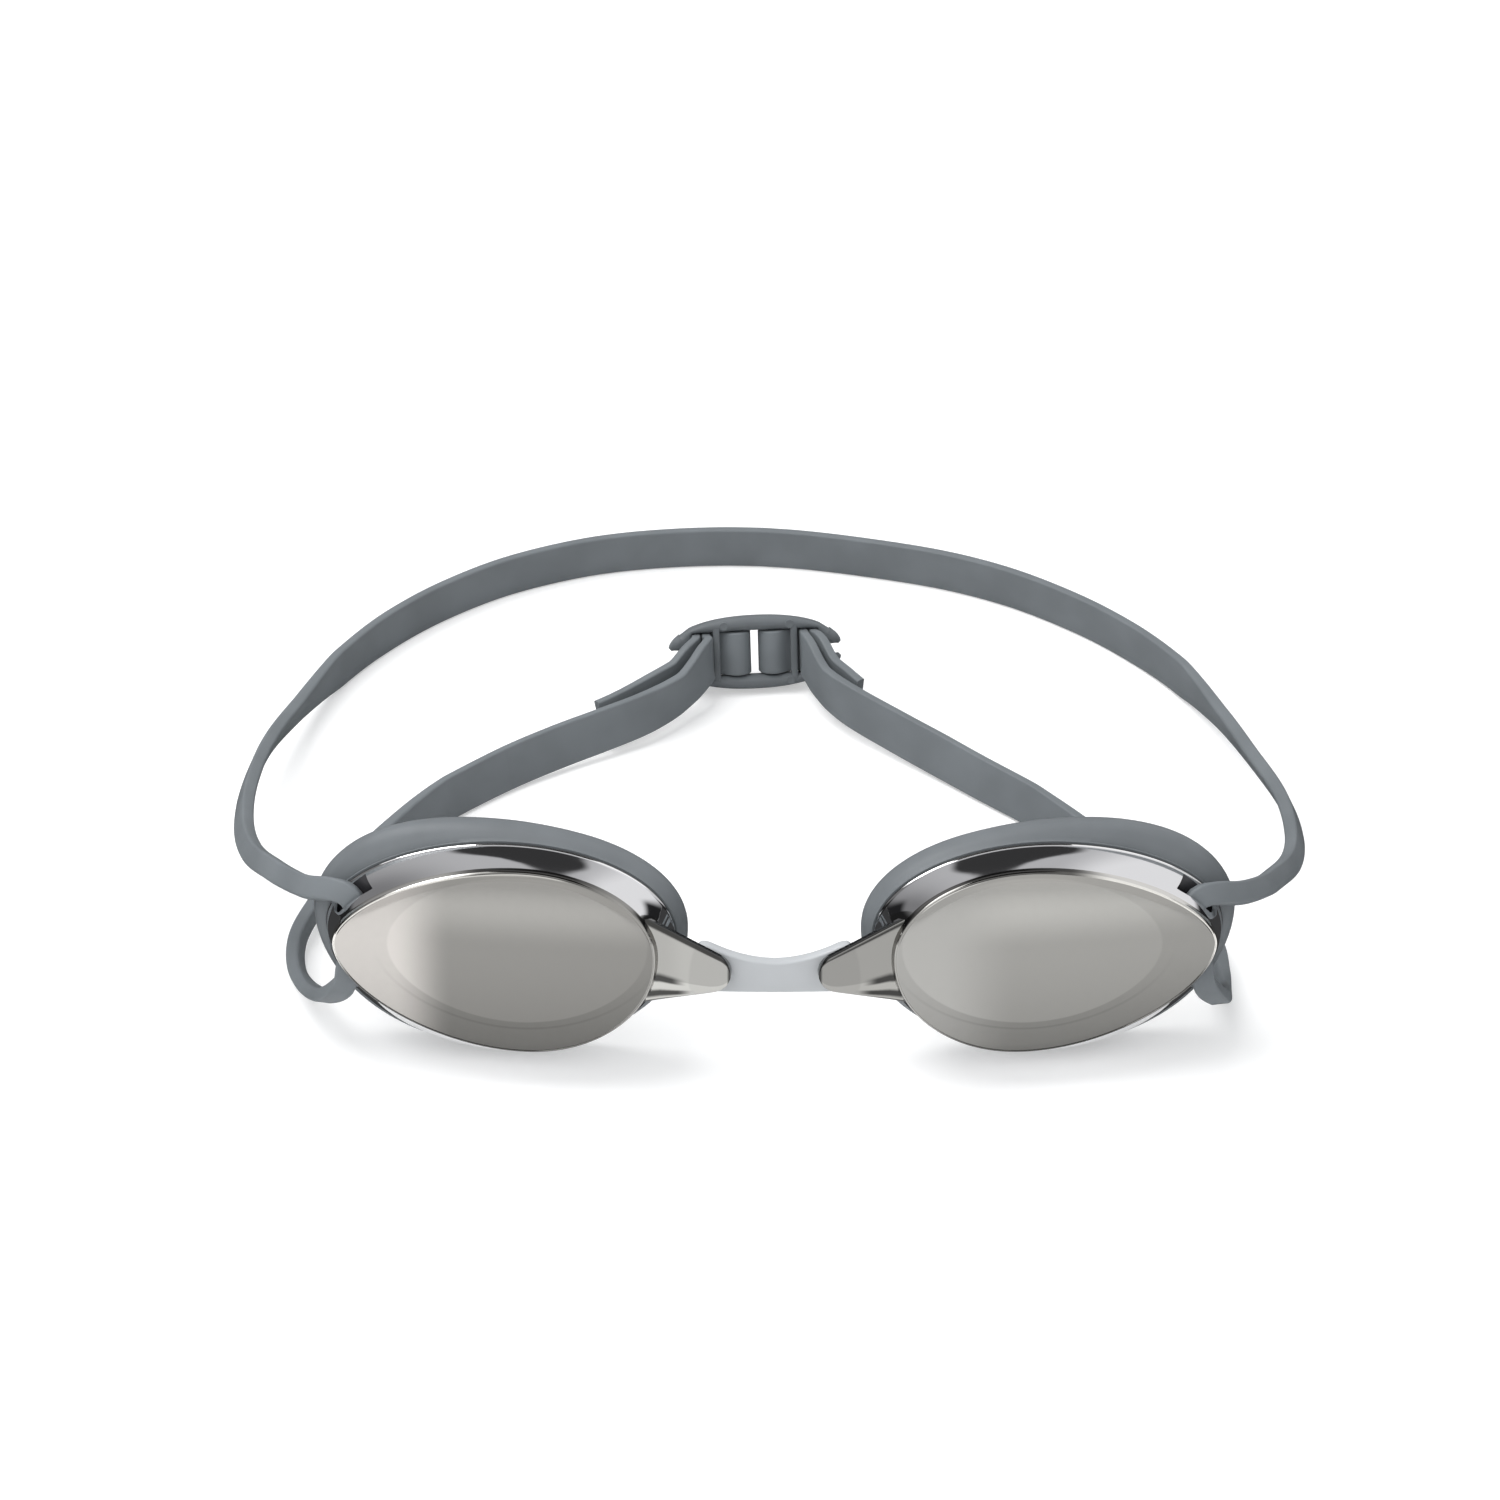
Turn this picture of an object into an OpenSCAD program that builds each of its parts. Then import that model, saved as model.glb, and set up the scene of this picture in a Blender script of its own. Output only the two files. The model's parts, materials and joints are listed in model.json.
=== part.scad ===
// Swim goggles: two mirrored eyecups on a nose bridge, one continuous silicone
// strap through a slot at each outer end, and a moulded buckle at the back.
// The goggles stand on the plane Z = 0, the lenses look along -Y, +X is to the
// right of the picture a viewer in front of the lenses sees.

/* [Front frame] */
// Lean of the lenses, top edge backwards
lens_tilt = 12; // [6:1:16]
// Sweep of each eyecup backwards towards its outer end
lens_wrap = 6; // [3:0.5:8]
// Droop of the outer tip in the plane of the lens
lens_droop = 2.2; // [0:0.2:4]
// Gap between the two lens faces at the nose
lens_gap = 41.4; // [38:0.2:50]

/* [Lens] */
// Width of the lens face, nose end to outer tip
lens_w = 58.4; // [50:0.2:72]
// Height of the lens face above the line from nose end to tip
lens_rise = 14.2; // [12:0.2:18]
// Depth of the lens face below that line
lens_drop = 21.5; // [18:0.2:26]
// Depth of the hard cup, from the face to the shoulder that the gasket meets
cup_depth = 9.5; // [9.2:0.1:12]
// How far the cup wall flares out from the face to the shoulder
cup_flare = 2.4; // [1.6:0.1:3.2]
// Thickness of the lens plate
plate_t = 2.2; // [1.8:0.1:2.6]
// Height of the flange that carries the gasket
flange_h = 2.5; // [1.5:0.1:3.5]

/* [Nose arm] */
// Distance between the ends of the two arms
arm_gap = 14.8; // [14:0.2:16.4]
// Thickness of the arm
arm_t = 2.2; // [1.6:0.1:2.4]
// Radius of the rounded arm end
arm_end_r = 3.6; // [2.4:0.1:3.8]

/* [Nose bridge] */
// Distance of each hinge pin from the middle
pin_x = 11.5; // [11:0.1:12.4]
// Diameter of the pin
pin_d = 2.2; // [1.6:0.1:2.4]
// Radial clearance of the pin in the eye of the arm
pin_clearance = 0.05; // [0.02:0.01:0.1]
// Height of the bridge at the middle
bridge_h = 6; // [4:0.1:6.4]
// Thickness of the bridge
bridge_t = 2.6; // [2.4:0.1:3]

/* [Gasket] */
// Depth of the gasket behind the shoulder of the cup
seal_depth = 7.2; // [5.5:0.1:9]
// How far the gasket stands out past the shoulder
seal_flare = 1.8; // [1.2:0.1:2.6]
// Extra reach of the lip at the upper temple corner
seal_corner = 2.8; // [0:0.1:3.2]
// Extra reach of the lip along the lower temple side
seal_low = 0.7; // [0:0.1:1.4]
// Clearance between gasket and flange
seal_clearance = 0.1; // [0.05:0.05:0.3]

/* [Strap] */
// Width of the wide band
band_w = 8.8; // [8:0.1:10]
// Thickness of the wide band
band_t = 1.8; // [1.4:0.1:2]
// Width of the narrow stretch that runs through the slots
cord_w = 4.2; // [3.4:0.1:4.6]
// Thickness of the narrow stretch
cord_t = 2.6; // [2:0.1:2.8]
// Room left around the strap in its slots
strap_clearance = 0.3; // [0.2:0.05:0.6]

/* [Buckle] */
// Length of the buckle
buckle_l = 34.8; // [33.6:0.2:42]
// Wall of the upper and lower lobe at the window
lobe_h = 2.9; // [2.4:0.1:4]
// Thickness of the buckle
buckle_t = 3.6; // [3:0.1:4]
// Distance between the two inner bars
bar_gap = 7.2; // [6.6:0.1:7.4]
// Diameter of the inner bars
bar_d = 1.9; // [1.5:0.1:2.1]

/* [Hidden] */
PER_ARC = 14;                  // points along each quarter of a lens outline
front_y = -85;                 // face of the lenses at the nose
face_z = 30.9;                 // line from nose end to tip, above the ground
datum_y = 86;                  // route points are given from this far in front
lens_x = lens_gap / 2;
rim_t = 1.4;                   // thickness of the rim in front of the arm
arm_z = -5.9;                  // height of the arm end in the lens plane
pin_depth = rim_t + arm_t + 2;
pin_z = -6.6;
bridge_low = -10.8;              // lower edge of the bridge in the lens plane
lug_top = -1.5;                  // top of the two lugs
knuckle_h = 4.6;
knuckle_d = 4.2;
lug_gap = 0.3;                 // end play of the knuckle between the lugs
slot_in = 3.4;                 // lens tip to the middle of the strap slot
slot_depth = 4.9;              // face to the middle of the strap slot
slot_lean = 14;                // the slot leans outwards towards its lower end
slot_w = cord_w + 2 * strap_clearance;
slot_t = cord_t + 2 * strap_clearance;
mouth_start = 1;               // upper mouth of the slot begins this far above the middle
mouth_l = 9;
mouth_out = 5;                 // widening of the mouth towards the temple
mouth_back = 1.8;              // widening of the mouth towards the back
chamber_end = 10.6;            // lens tip to the outer end of the eye space
buckle_at = [-3.4, 43.6, 7.9];
buckle_lean = 20;
buckle_yaw = 5;
window_h = band_w + 0.4;
tip_gap = 1.7;                 // slit between the lobes at each tip
window_end = 13;               // middle of the buckle to the end of its full-height window
window_taper = 1.4;            // length over which the window closes to the slit
outer_bar = 1.4;               // the two outer bars are square
outer_bar_x = 7.8;             // middle of the buckle to each outer bar
bar_y = 0.8;                   // inner bars sit this far behind the mid-plane
wrap_r = bar_d / 2 + 0.15 + band_t / 2;

// ---------- curves ----------
function bez(p, t) = let (u = 1 - t)
    u * u * u * p[0] + 3 * u * u * t * p[1] + 3 * u * t * t * p[2] + t * t * t * p[3];

// One quarter of an outline between two extreme points; k and j set how full it is
function quarter(from, to, upright, k, j) = let (d = to - from)
    [for (i = [0 : PER_ARC - 1]) bez([from,
        from + (upright ? [0, k * d.y] : [k * d.x, 0]),
        to - (upright ? [j * d.x, 0] : [0, j * d.y]), to], i / PER_ARC)];

// Closed outline through its inner, top, outer and bottom points
function outline(inner, top, outer, bottom, tip_k) = concat(
    quarter(inner, top, true, 0.55, 0.55),
    quarter(top, outer, false, 0.55, tip_k),
    quarter(outer, bottom, true, tip_k, 0.5),
    quarter(bottom, inner, false, 0.55, 0.55));

function unit(v) = v / norm(v);
function wrapped(list, i) = list[(i + len(list)) % len(list)];
function grown(path, d) = [for (i = [0 : len(path) - 1])
    let (t = unit(wrapped(path, i + 1) - wrapped(path, i - 1))) path[i] + d * [-t.y, t.x]];
function blend(a, b, t) = [for (i = [0 : len(a) - 1]) a[i] * (1 - t) + b[i] * t];
function scaled(path, middle, s) = [for (p = path) middle + s * (p - middle)];

face_path = outline([0, -2.4], [25.4, lens_rise], [lens_w, -0.4], [23.2, -lens_drop], 0.41);
back_path = outline([-cup_flare, -2], [29, lens_rise + cup_flare - 1.2],
                    [lens_w + cup_flare, -0.5], [30, -lens_drop - cup_flare - 0.8], 0.55);
eye_path = outline([2.2, -1], [26, lens_rise - 2.2],
                   [lens_w - chamber_end, -1], [25, -lens_drop + 5.4], 0.55);
face_middle = [26, -3];

// ---------- places ----------
function spin(p, angle) = [p.x * cos(angle) - p.y * sin(angle),
                           p.x * sin(angle) + p.y * cos(angle)];
// Point of the lens plane (outwards, backwards, up) drooped and moved to the nose end
function on_cup(p) = let (d = spin([p.x, p.z], -lens_droop)) [lens_x + d.x, p.y, d.y];
// Front frame to the ground frame, through the wrap of the right eyecup
function from_front(p) = let (t = spin([p.y, p.z], -lens_tilt))
    [p.x, front_y + t.x, face_z + t.y];
function from_cup(p) = let (w = spin([p.x - pin_x, p.y - pin_depth], lens_wrap))
    from_front([pin_x + w.x, pin_depth + w.y, p.z]);
function in_slot(side, up, out = 0) =
    let (q = spin([out, up], slot_lean),
         p = from_cup(on_cup([lens_w - slot_in + q.x, slot_depth, q.y]))) [side * p.x, p.y, p.z];
function from_buckle(p) = let (t = spin([p.y, p.z], -buckle_lean), s = spin([p.x, t.x], buckle_yaw))
    buckle_at + [s.x, s.y, t.y];

module front_frame() {
    translate([0, front_y, face_z]) rotate([-lens_tilt, 0, 0]) children();
}

module right_cup_frame() {
    front_frame()
        translate([pin_x, pin_depth, 0]) rotate([0, 0, lens_wrap])
            translate([-pin_x, -pin_depth, 0]) children();
}

// ---------- lofts ----------
// Quads between two rings of n points, first ring starting at index a
function band_faces(a, b, n) = [for (i = [0 : n - 1]) let (j = (i + 1) % n)
    each [[a + i, b + i, b + j], [a + i, b + j, a + j]]];

// Closed solid through rings, with a middle point closing each end
module loft(rings, first, last) {
    n = len(rings[0]);
    m = len(rings);
    points = concat([for (r = rings) each r], [first, last]);
    faces = concat(
        [for (k = [0 : m - 2]) each band_faces(k * n, (k + 1) * n, n)],
        [for (i = [0 : n - 1]) [m * n, i, (i + 1) % n]],
        [for (i = [0 : n - 1]) [m * n + 1, (m - 1) * n + (i + 1) % n, (m - 1) * n + i]]);
    polyhedron(points, faces);
}

// Closed ring-shaped solid: the last ring joins the first
module ring_loft(rings) {
    n = len(rings[0]);
    m = len(rings);
    polyhedron([for (r = rings) each r],
        [for (k = [0 : m - 1]) each band_faces(k * n, ((k + 1) % m) * n, n)]);
}

function cup_ring(path, depth) = [for (p = path) on_cup([p.x, depth, p.y])];

// ---------- eyecup ----------
module cup_shell() {
    wall = blend(face_path, back_path, 0.55);
    rings = [
        cup_ring(scaled(face_path, face_middle, 0.55), -0.75),
        cup_ring(scaled(face_path, face_middle, 0.85), -0.25),
        cup_ring(grown(face_path, -0.8), 0.05),
        cup_ring(grown(face_path, -0.15), 0.4),
        cup_ring(face_path, 0.8),
        cup_ring(face_path, rim_t + 0.2),
        cup_ring(wall, cup_depth * 0.55),
        cup_ring(back_path, cup_depth - 0.3),
        cup_ring(back_path, cup_depth),
        cup_ring(grown(back_path, -0.8), cup_depth),
        cup_ring(grown(back_path, -0.8), cup_depth + flange_h),
        cup_ring(grown(back_path, -2), cup_depth + flange_h),
        cup_ring(blend(eye_path, grown(back_path, -2.4), 0.9), cup_depth + flange_h * 0.6),
        cup_ring(blend(eye_path, back_path, 0.1), cup_depth - 1),
        cup_ring(eye_path, plate_t + 1),
        cup_ring(grown(eye_path, -0.7), plate_t),
        cup_ring(scaled(eye_path, face_middle, 0.5), plate_t - 0.5)];
    loft(rings, on_cup([face_middle.x, -1, face_middle.y]),
         on_cup([face_middle.x, plate_t - 0.7, face_middle.y]));
}

// Outline of the arm, from the wall of the cup to its rounded end
module arm_outline() {
    end_x = arm_gap / 2 + arm_end_r;
    ends = [for (a = [105 : 10 : 255]) [end_x + arm_end_r * cos(a), arm_z + arm_end_r * sin(a)]];
    polygon(concat(ends, [[lens_x + 4.4, -12.8], [lens_x + 1.3, -3], [lens_x + 3, 4.8]]));
}

module nose_arm() {
    translate([0, rim_t + arm_t, 0]) rotate([90, 0, 0]) linear_extrude(arm_t) arm_outline();
    translate([pin_x, pin_depth, pin_z - knuckle_h / 2]) cylinder(d = knuckle_d, h = knuckle_h, $fn = 48);
    translate([pin_x - 1.4, rim_t + arm_t - 0.3, pin_z - knuckle_h / 2])
        cube([2.8, pin_depth - rim_t - arm_t, knuckle_h]);
}

// Room for the strap: a straight slot that widens outwards at its upper mouth
module slot_space() {
    tall = lens_rise + lens_drop;
    translate([-slot_w / 2, -slot_t / 2, -tall / 2]) cube([slot_w, slot_t, tall]);
    hull() {
        translate([-slot_w / 2, -slot_t / 2, mouth_start]) cube([slot_w, slot_t, 0.2]);
        translate([-slot_w / 2 - 0.6, -slot_t / 2 - 0.2, mouth_start + mouth_l])
            cube([slot_w + 0.6 + mouth_out, slot_t + 0.2 + mouth_back, 0.2]);
    }
}

module right_lens_solid() {
    right_cup_frame() difference() {
        union() {
            cup_shell();
            nose_arm();
        }
        translate([pin_x, pin_depth, pin_z - knuckle_h])
            cylinder(d = pin_d + 2 * pin_clearance, h = 2 * knuckle_h, $fn = 48);
        translate([lens_x, 0, 0]) rotate([0, lens_droop, 0])
            translate([lens_w - slot_in, slot_depth, 0]) rotate([0, -slot_lean, 0]) slot_space();
    }
}

// Section of the gasket: [way out from the shoulder, depth behind it]
gasket_section = [
    [0.4, 0.2], [seal_flare * 0.8, seal_depth * 0.28], [seal_flare, seal_depth * 0.62],
    [seal_flare * 0.8, seal_depth * 0.85], [0.6, seal_depth], [-1.2, seal_depth * 0.98],
    [-2.4, seal_depth * 0.85], [-2.9, seal_depth * 0.62],
    [-2.8, flange_h + seal_clearance], [-0.8 + seal_clearance, flange_h + seal_clearance],
    [-0.8 + seal_clearance, 0.2]];

// The lip reaches further back towards the temple than at the nose
function temple_reach(x) = 1 + 0.14 * (x / lens_w - 0.5);

// Extra reach of the lip round the outline, as a bump about a place given in quarters
function swell(q, middle, span) = abs(q - middle) < span ? pow(cos(90 * (q - middle) / span), 2) : 0;
function lip_extra(i) = let (q = i / PER_ARC)
    seal_corner * swell(q, 1.5, 0.8) + seal_low * swell(q, 2.3, 0.65);

module right_gasket_solid() {
    lip = [for (i = [0 : len(back_path) - 1]) lip_extra(i)];
    right_cup_frame() ring_loft([for (s = gasket_section)
        let (share = s.x > 0.5 ? s.x / seal_flare : 0, inner = grown(back_path, s.x),
             outer = grown(back_path, s.x + 1))
        [for (i = [0 : len(inner) - 1])
            let (p = inner[i] + share * lip[i] * (outer[i] - inner[i]))
            on_cup([p.x, cup_depth + (s.y > flange_h + 1 ? s.y * temple_reach(p.x) : s.y), p.y])]]);
}

module right_lens() { color("#b9b8b4") right_lens_solid(); }
module left_lens() { color("#b9b8b4") mirror([1, 0, 0]) right_lens_solid(); }
module right_gasket() { color("#7c8388") right_gasket_solid(); }
module left_gasket() { color("#7c8388") mirror([1, 0, 0]) right_gasket_solid(); }

// ---------- nose bridge ----------
// Right half of the front view of the bridge
module bridge_half() {
    mid_top = bridge_low + bridge_h;
    end_x = pin_x + 2.3;
    rise = [for (i = [0 : 8]) let (s = i / 8)
        [s * (end_x - 1), mid_top + (lug_top - mid_top) * pow(s, 1.9)]];
    polygon(concat([[0, bridge_low]], rise,
        [[end_x - 0.6, lug_top], [end_x, lug_top - 0.6],
         [end_x, bridge_low + 0.6], [end_x - 0.6, bridge_low]]));
}

module bridge_side() {
    low = pin_z - knuckle_h / 2 - lug_gap;
    room = knuckle_h + 2 * lug_gap;
    difference() {
        translate([0, pin_depth + bridge_t / 2, 0]) rotate([90, 0, 0])
            linear_extrude(bridge_t) bridge_half();
        translate([pin_x - knuckle_d / 2 - 0.4, pin_depth - bridge_t, low])
            cube([10, 2 * bridge_t, room]);
    }
    translate([pin_x, pin_depth, low - 1]) cylinder(d = pin_d, h = room + 2, $fn = 48);
}

module nose_bridge() {
    color("#bcc2c8") front_frame() union() {
        bridge_side();
        mirror([1, 0, 0]) bridge_side();
    }
}

// ---------- buckle ----------
// Oval a little fuller than an ellipse
function oval_points(rx, ry, n) = let (k = 2 / 2.15) [for (i = [0 : n - 1])
    let (c = cos(360 * i / n), s = sin(360 * i / n))
        [rx * sign(c) * pow(abs(c), k), ry * sign(s) * pow(abs(s), k)]];

// Opening of the buckle: full height between the bars, narrowing to a slit at each tip
module buckle_opening() {
    h = window_h / 2;
    slit_x = window_end + window_taper;
    far_x = buckle_l / 2 + 1;
    polygon([[window_end, -h], [slit_x, -tip_gap / 2], [far_x, -tip_gap / 2],
             [far_x, tip_gap / 2], [slit_x, tip_gap / 2], [window_end, h],
             [-window_end, h], [-slit_x, tip_gap / 2], [-far_x, tip_gap / 2],
             [-far_x, -tip_gap / 2], [-slit_x, -tip_gap / 2], [-window_end, -h]]);
}

module buckle_plate() {
    difference() {
        polygon(oval_points(buckle_l / 2, window_h / 2 + lobe_h, 96));
        buckle_opening();
    }
}

module buckle_bars() {
    for (side = [-1, 1]) {
        translate([side * bar_gap / 2, bar_y, 0])
            cylinder(d = bar_d, h = window_h + 1, center = true, $fn = 32);
        translate([side * outer_bar_x, -buckle_t / 2 + outer_bar / 2, 0])
            cube([outer_bar, outer_bar, window_h + 1], center = true);
    }
}

module buckle() {
    color("#787f84") translate(buckle_at) rotate([0, 0, buckle_yaw]) rotate([-buckle_lean, 0, 0])
        union() {
            translate([0, buckle_t / 2, 0]) rotate([90, 0, 0]) linear_extrude(buckle_t) buckle_plate();
            buckle_bars();
        }
}

// ---------- strap ----------
// Rows of the route: [place, direction of the strap's width, narrowness 0 to 1]
function ground(x, y, z) = [x, y - datum_y, z];
up = [0, 0, 1];

// Threading of one end in the buckle, from the free end round the inner bar and out
function threading(side) = [
    for (p = [[12.6, -5], [11.9, -2.2], [11.8, 0], [11.3, 1.7], [9.2, 2.75], [6.4, 2.9]])
        [from_buckle([side * p.x, p.y, 0]), from_buckle(up) - buckle_at, 0],
    for (a = [90 : -30 : -90])
        [from_buckle([side * (bar_gap / 2 - wrap_r * cos(a)), bar_y + wrap_r * sin(a), 0]),
         from_buckle(up) - buckle_at, 0],
    for (p = [[4.4, -1.05], [5.4, -0.3], [6.4, 0.5], [8, 0.75], [9.3, 0.5], [9.8, -0.9], [9.8, -3],
              [10, -6]])
        [from_buckle([side * p.x, p.y, 0]), from_buckle(up) - buckle_at, 0]];

// Stretch inside the slot of one eyecup, from below to above
function slot_run(side) = [for (u = [-11, -7, 0, 3.6])
    [in_slot(side, u), in_slot(side, 0, 1) - in_slot(side, 0), 1]];

left_route = concat(
    [[ground(-33.9, 108, 5.8), [0, 0.3, 1], 0],
     [ground(-29.8, 110.8, 6.2), [0, 0.3, 1], 0],
     [ground(-24.4, 115.2, 7), [0, 0.2, 1], 0],
     [ground(-18.9, 119.9, 8), [0, 0.1, 1], 0]],
    threading(-1),
    [[ground(-17.5, 116, 7.8), up, 0],
     [ground(-24.5, 110, 6.8), [0, 0.2, 1], 0],
     [ground(-33.5, 105, 5.8), [0, 0.3, 1], 0],
     [ground(-42, 100.2, 5.2), [0, 0.35, 1], 0],
     [ground(-52, 93.4, 4.7), [0, 0.35, 1], 0],
     [ground(-62.5, 84, 4.6), [0, 0.3, 1], 0],
     [ground(-69, 77.5, 4.5), [0, 0.1, 1], 0.3],
     [ground(-76, 68.5, 4.3), up, 0.8],
     [ground(-82.5, 58, 4.2), up, 1],
     [ground(-87, 46.5, 4.2), up, 1],
     [ground(-88.8, 38, 4.2), [-0.2, -0.1, 1], 1],
     [ground(-88.2, 30, 4), [-0.4, -0.3, 1], 1],
     [ground(-85.2, 21.4, 6.2), [-0.6, -0.5, 0.7], 1],
     [ground(-81.2, 12.8, 11.2), [-0.8, -0.4, 0.4], 1]],
    slot_run(-1),
    [[ground(-76.2, 13.7, 33), [-0.9, -0.2, -0.6], 1],
     [ground(-79.3, 15.2, 33.4), [-0.6, -0.3, -0.8], 1],
     [ground(-84, 18.8, 31.2), [-0.5, -0.4, -0.8], 1],
     [ground(-88, 25, 28.4), [-0.5, -0.4, -0.8], 1],
     [ground(-91.4, 30.4, 26.6), [-0.5, -0.3, -0.8], 1],
     [ground(-96.2, 41, 22.4), [-0.5, -0.2, -0.9], 1],
     [ground(-99.2, 54.5, 18.6), [-0.5, -0.1, -0.9], 1],
     [ground(-100.1, 72.5, 14.5), [-0.45, 0, -1], 1],
     [ground(-98.5, 93, 10.2), [-0.4, 0, -1], 1],
     [ground(-94, 111, 6.6), [-0.2, 0, -1], 0.8],
     [ground(-87.5, 127.5, 4.7), [0, 0, -1], 0.15],
     [ground(-78.5, 141.5, 4.5), [0, 0, -1], 0],
     [ground(-66.5, 154, 4.5), [0, 0, -1], 0],
     [ground(-51, 164.6, 4.5), [0, 0, -1], 0],
     [ground(-30, 172, 4.5), [0, 0, -1], 0]]);

right_route = concat(
    [[ground(17.2, 115.2, 6.8), up, 0],
     [ground(15, 117.8, 7.3), up, 0],
     [ground(12, 121.2, 8.2), up, 0]],
    threading(1),
    [[ground(10.2, 118.4, 7.8), up, 0],
     [ground(15.5, 112.2, 6.8), [0, 0.2, 1], 0],
     [ground(25, 104.2, 5.6), [0, 0.3, 1], 0],
     [ground(33, 97.4, 4.9), [0, 0.35, 1], 0],
     [ground(41, 89.8, 4.7), [0, 0.3, 1], 0],
     [ground(50, 81.4, 4.6), [0, 0.25, 1], 0],
     [ground(59, 72, 4.5), [0, 0.1, 1], 0.3],
     [ground(67.5, 62, 4.3), up, 0.8],
     [ground(75, 51.5, 4.2), up, 1],
     [ground(80, 43, 4.2), up, 1],
     [ground(82.2, 35.5, 4.2), [0.2, -0.1, 1], 1],
     [ground(82.4, 28.5, 4), [0.4, -0.3, 1], 1],
     [ground(81.6, 20.6, 6.4), [0.6, -0.5, 0.7], 1],
     [ground(80.6, 12.4, 11.2), [0.8, -0.4, 0.4], 1]],
    slot_run(1),
    [[ground(75.9, 13.4, 32.7), [0.9, -0.2, -0.6], 1],
     [ground(78.9, 14.6, 32.9), [0.6, -0.3, -0.8], 1],
     [ground(83.8, 17.6, 30.8), [0.5, -0.4, -0.8], 1],
     [ground(88.2, 23.6, 27.6), [0.5, -0.4, -0.8], 1],
     [ground(91, 29.6, 24.8), [0.5, -0.3, -0.8], 1],
     [ground(95.6, 41, 20.4), [0.5, -0.2, -0.9], 1],
     [ground(97.6, 53.5, 17.2), [0.5, -0.1, -0.9], 1],
     [ground(97.2, 71, 13.2), [0.45, 0, -1], 1],
     [ground(93.4, 90, 9.6), [0.4, 0, -1], 1],
     [ground(88.8, 108, 6.6), [0.2, 0, -1], 0.8],
     [ground(82.5, 124.5, 4.7), [0, 0, -1], 0.15],
     [ground(73.5, 137.4, 4.5), [0, 0, -1], 0],
     [ground(61.5, 149.4, 4.5), [0, 0, -1], 0],
     [ground(46, 160.2, 4.5), [0, 0, -1], 0],
     [ground(27, 167.8, 4.5), [0, 0, -1], 0]]);

back_route = [[ground(-2, 173.8, 4.5), [0, 0, -1], 0]];
route = concat(left_route, back_route, [for (i = [len(right_route) - 1 : -1 : 0]) right_route[i]]);

function smooth(a, b, c, d, t) = 0.5 * (2 * b + (c - a) * t + (2 * a - 5 * b + 4 * c - d) * t * t
    + (3 * b - a - 3 * c + d) * t * t * t);
function at_row(i) = route[max(0, min(len(route) - 1, i))];
function on_route(i, t, k) = smooth(at_row(i - 1)[k], at_row(i)[k], at_row(i + 1)[k], at_row(i + 2)[k], t);
function mixed(i, t, k) = at_row(i)[k] * (1 - t) + at_row(i + 1)[k] * t;

// Middle line of the strap as [place, width direction, narrowness]
STRAP_STEP = 5;
middle_line = [for (i = [0 : len(route) - 2])
    let (n = max(1, round(norm(route[i + 1][0] - route[i][0]) / STRAP_STEP)))
        each [for (j = [0 : n - 1]) [on_route(i, j / n, 0), mixed(i, j / n, 1), mixed(i, j / n, 2)]],
    route[len(route) - 1]];

// Rounded cross-section of the strap in its own plane
function strap_section(w, t) = let (c = t * 0.3)
    [[-w / 2, -t / 2 + c], [-w / 2 + c, -t / 2], [w / 2 - c, -t / 2], [w / 2, -t / 2 + c],
     [w / 2, t / 2 - c], [w / 2 - c, t / 2], [-w / 2 + c, t / 2], [-w / 2, t / 2 - c]];

module strap() {
    last = len(middle_line) - 1;
    rings = [for (i = [0 : last])
        let (along = unit(middle_line[min(last, i + 1)][0] - middle_line[max(0, i - 1)][0]),
             hint = middle_line[i][1],
             wide = unit(hint - (hint * along) * along),
             thick = cross(along, wide),
             n = middle_line[i][2])
        [for (s = strap_section(band_w + n * (cord_w - band_w), band_t + n * (cord_t - band_t)))
            middle_line[i][0] + s.x * wide + s.y * thick]];
    color("#7c8388") loft(rings, middle_line[0][0], middle_line[last][0]);
}

left_lens();
right_lens();
left_gasket();
right_gasket();
nose_bridge();
strap();
buckle();
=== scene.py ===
"""Swim goggles: the looks of every piece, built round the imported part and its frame."""

from __future__ import annotations

import json
import logging
import math
from dataclasses import dataclass, field
from enum import Enum, IntEnum
from typing import Any, Iterable, Sequence

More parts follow.
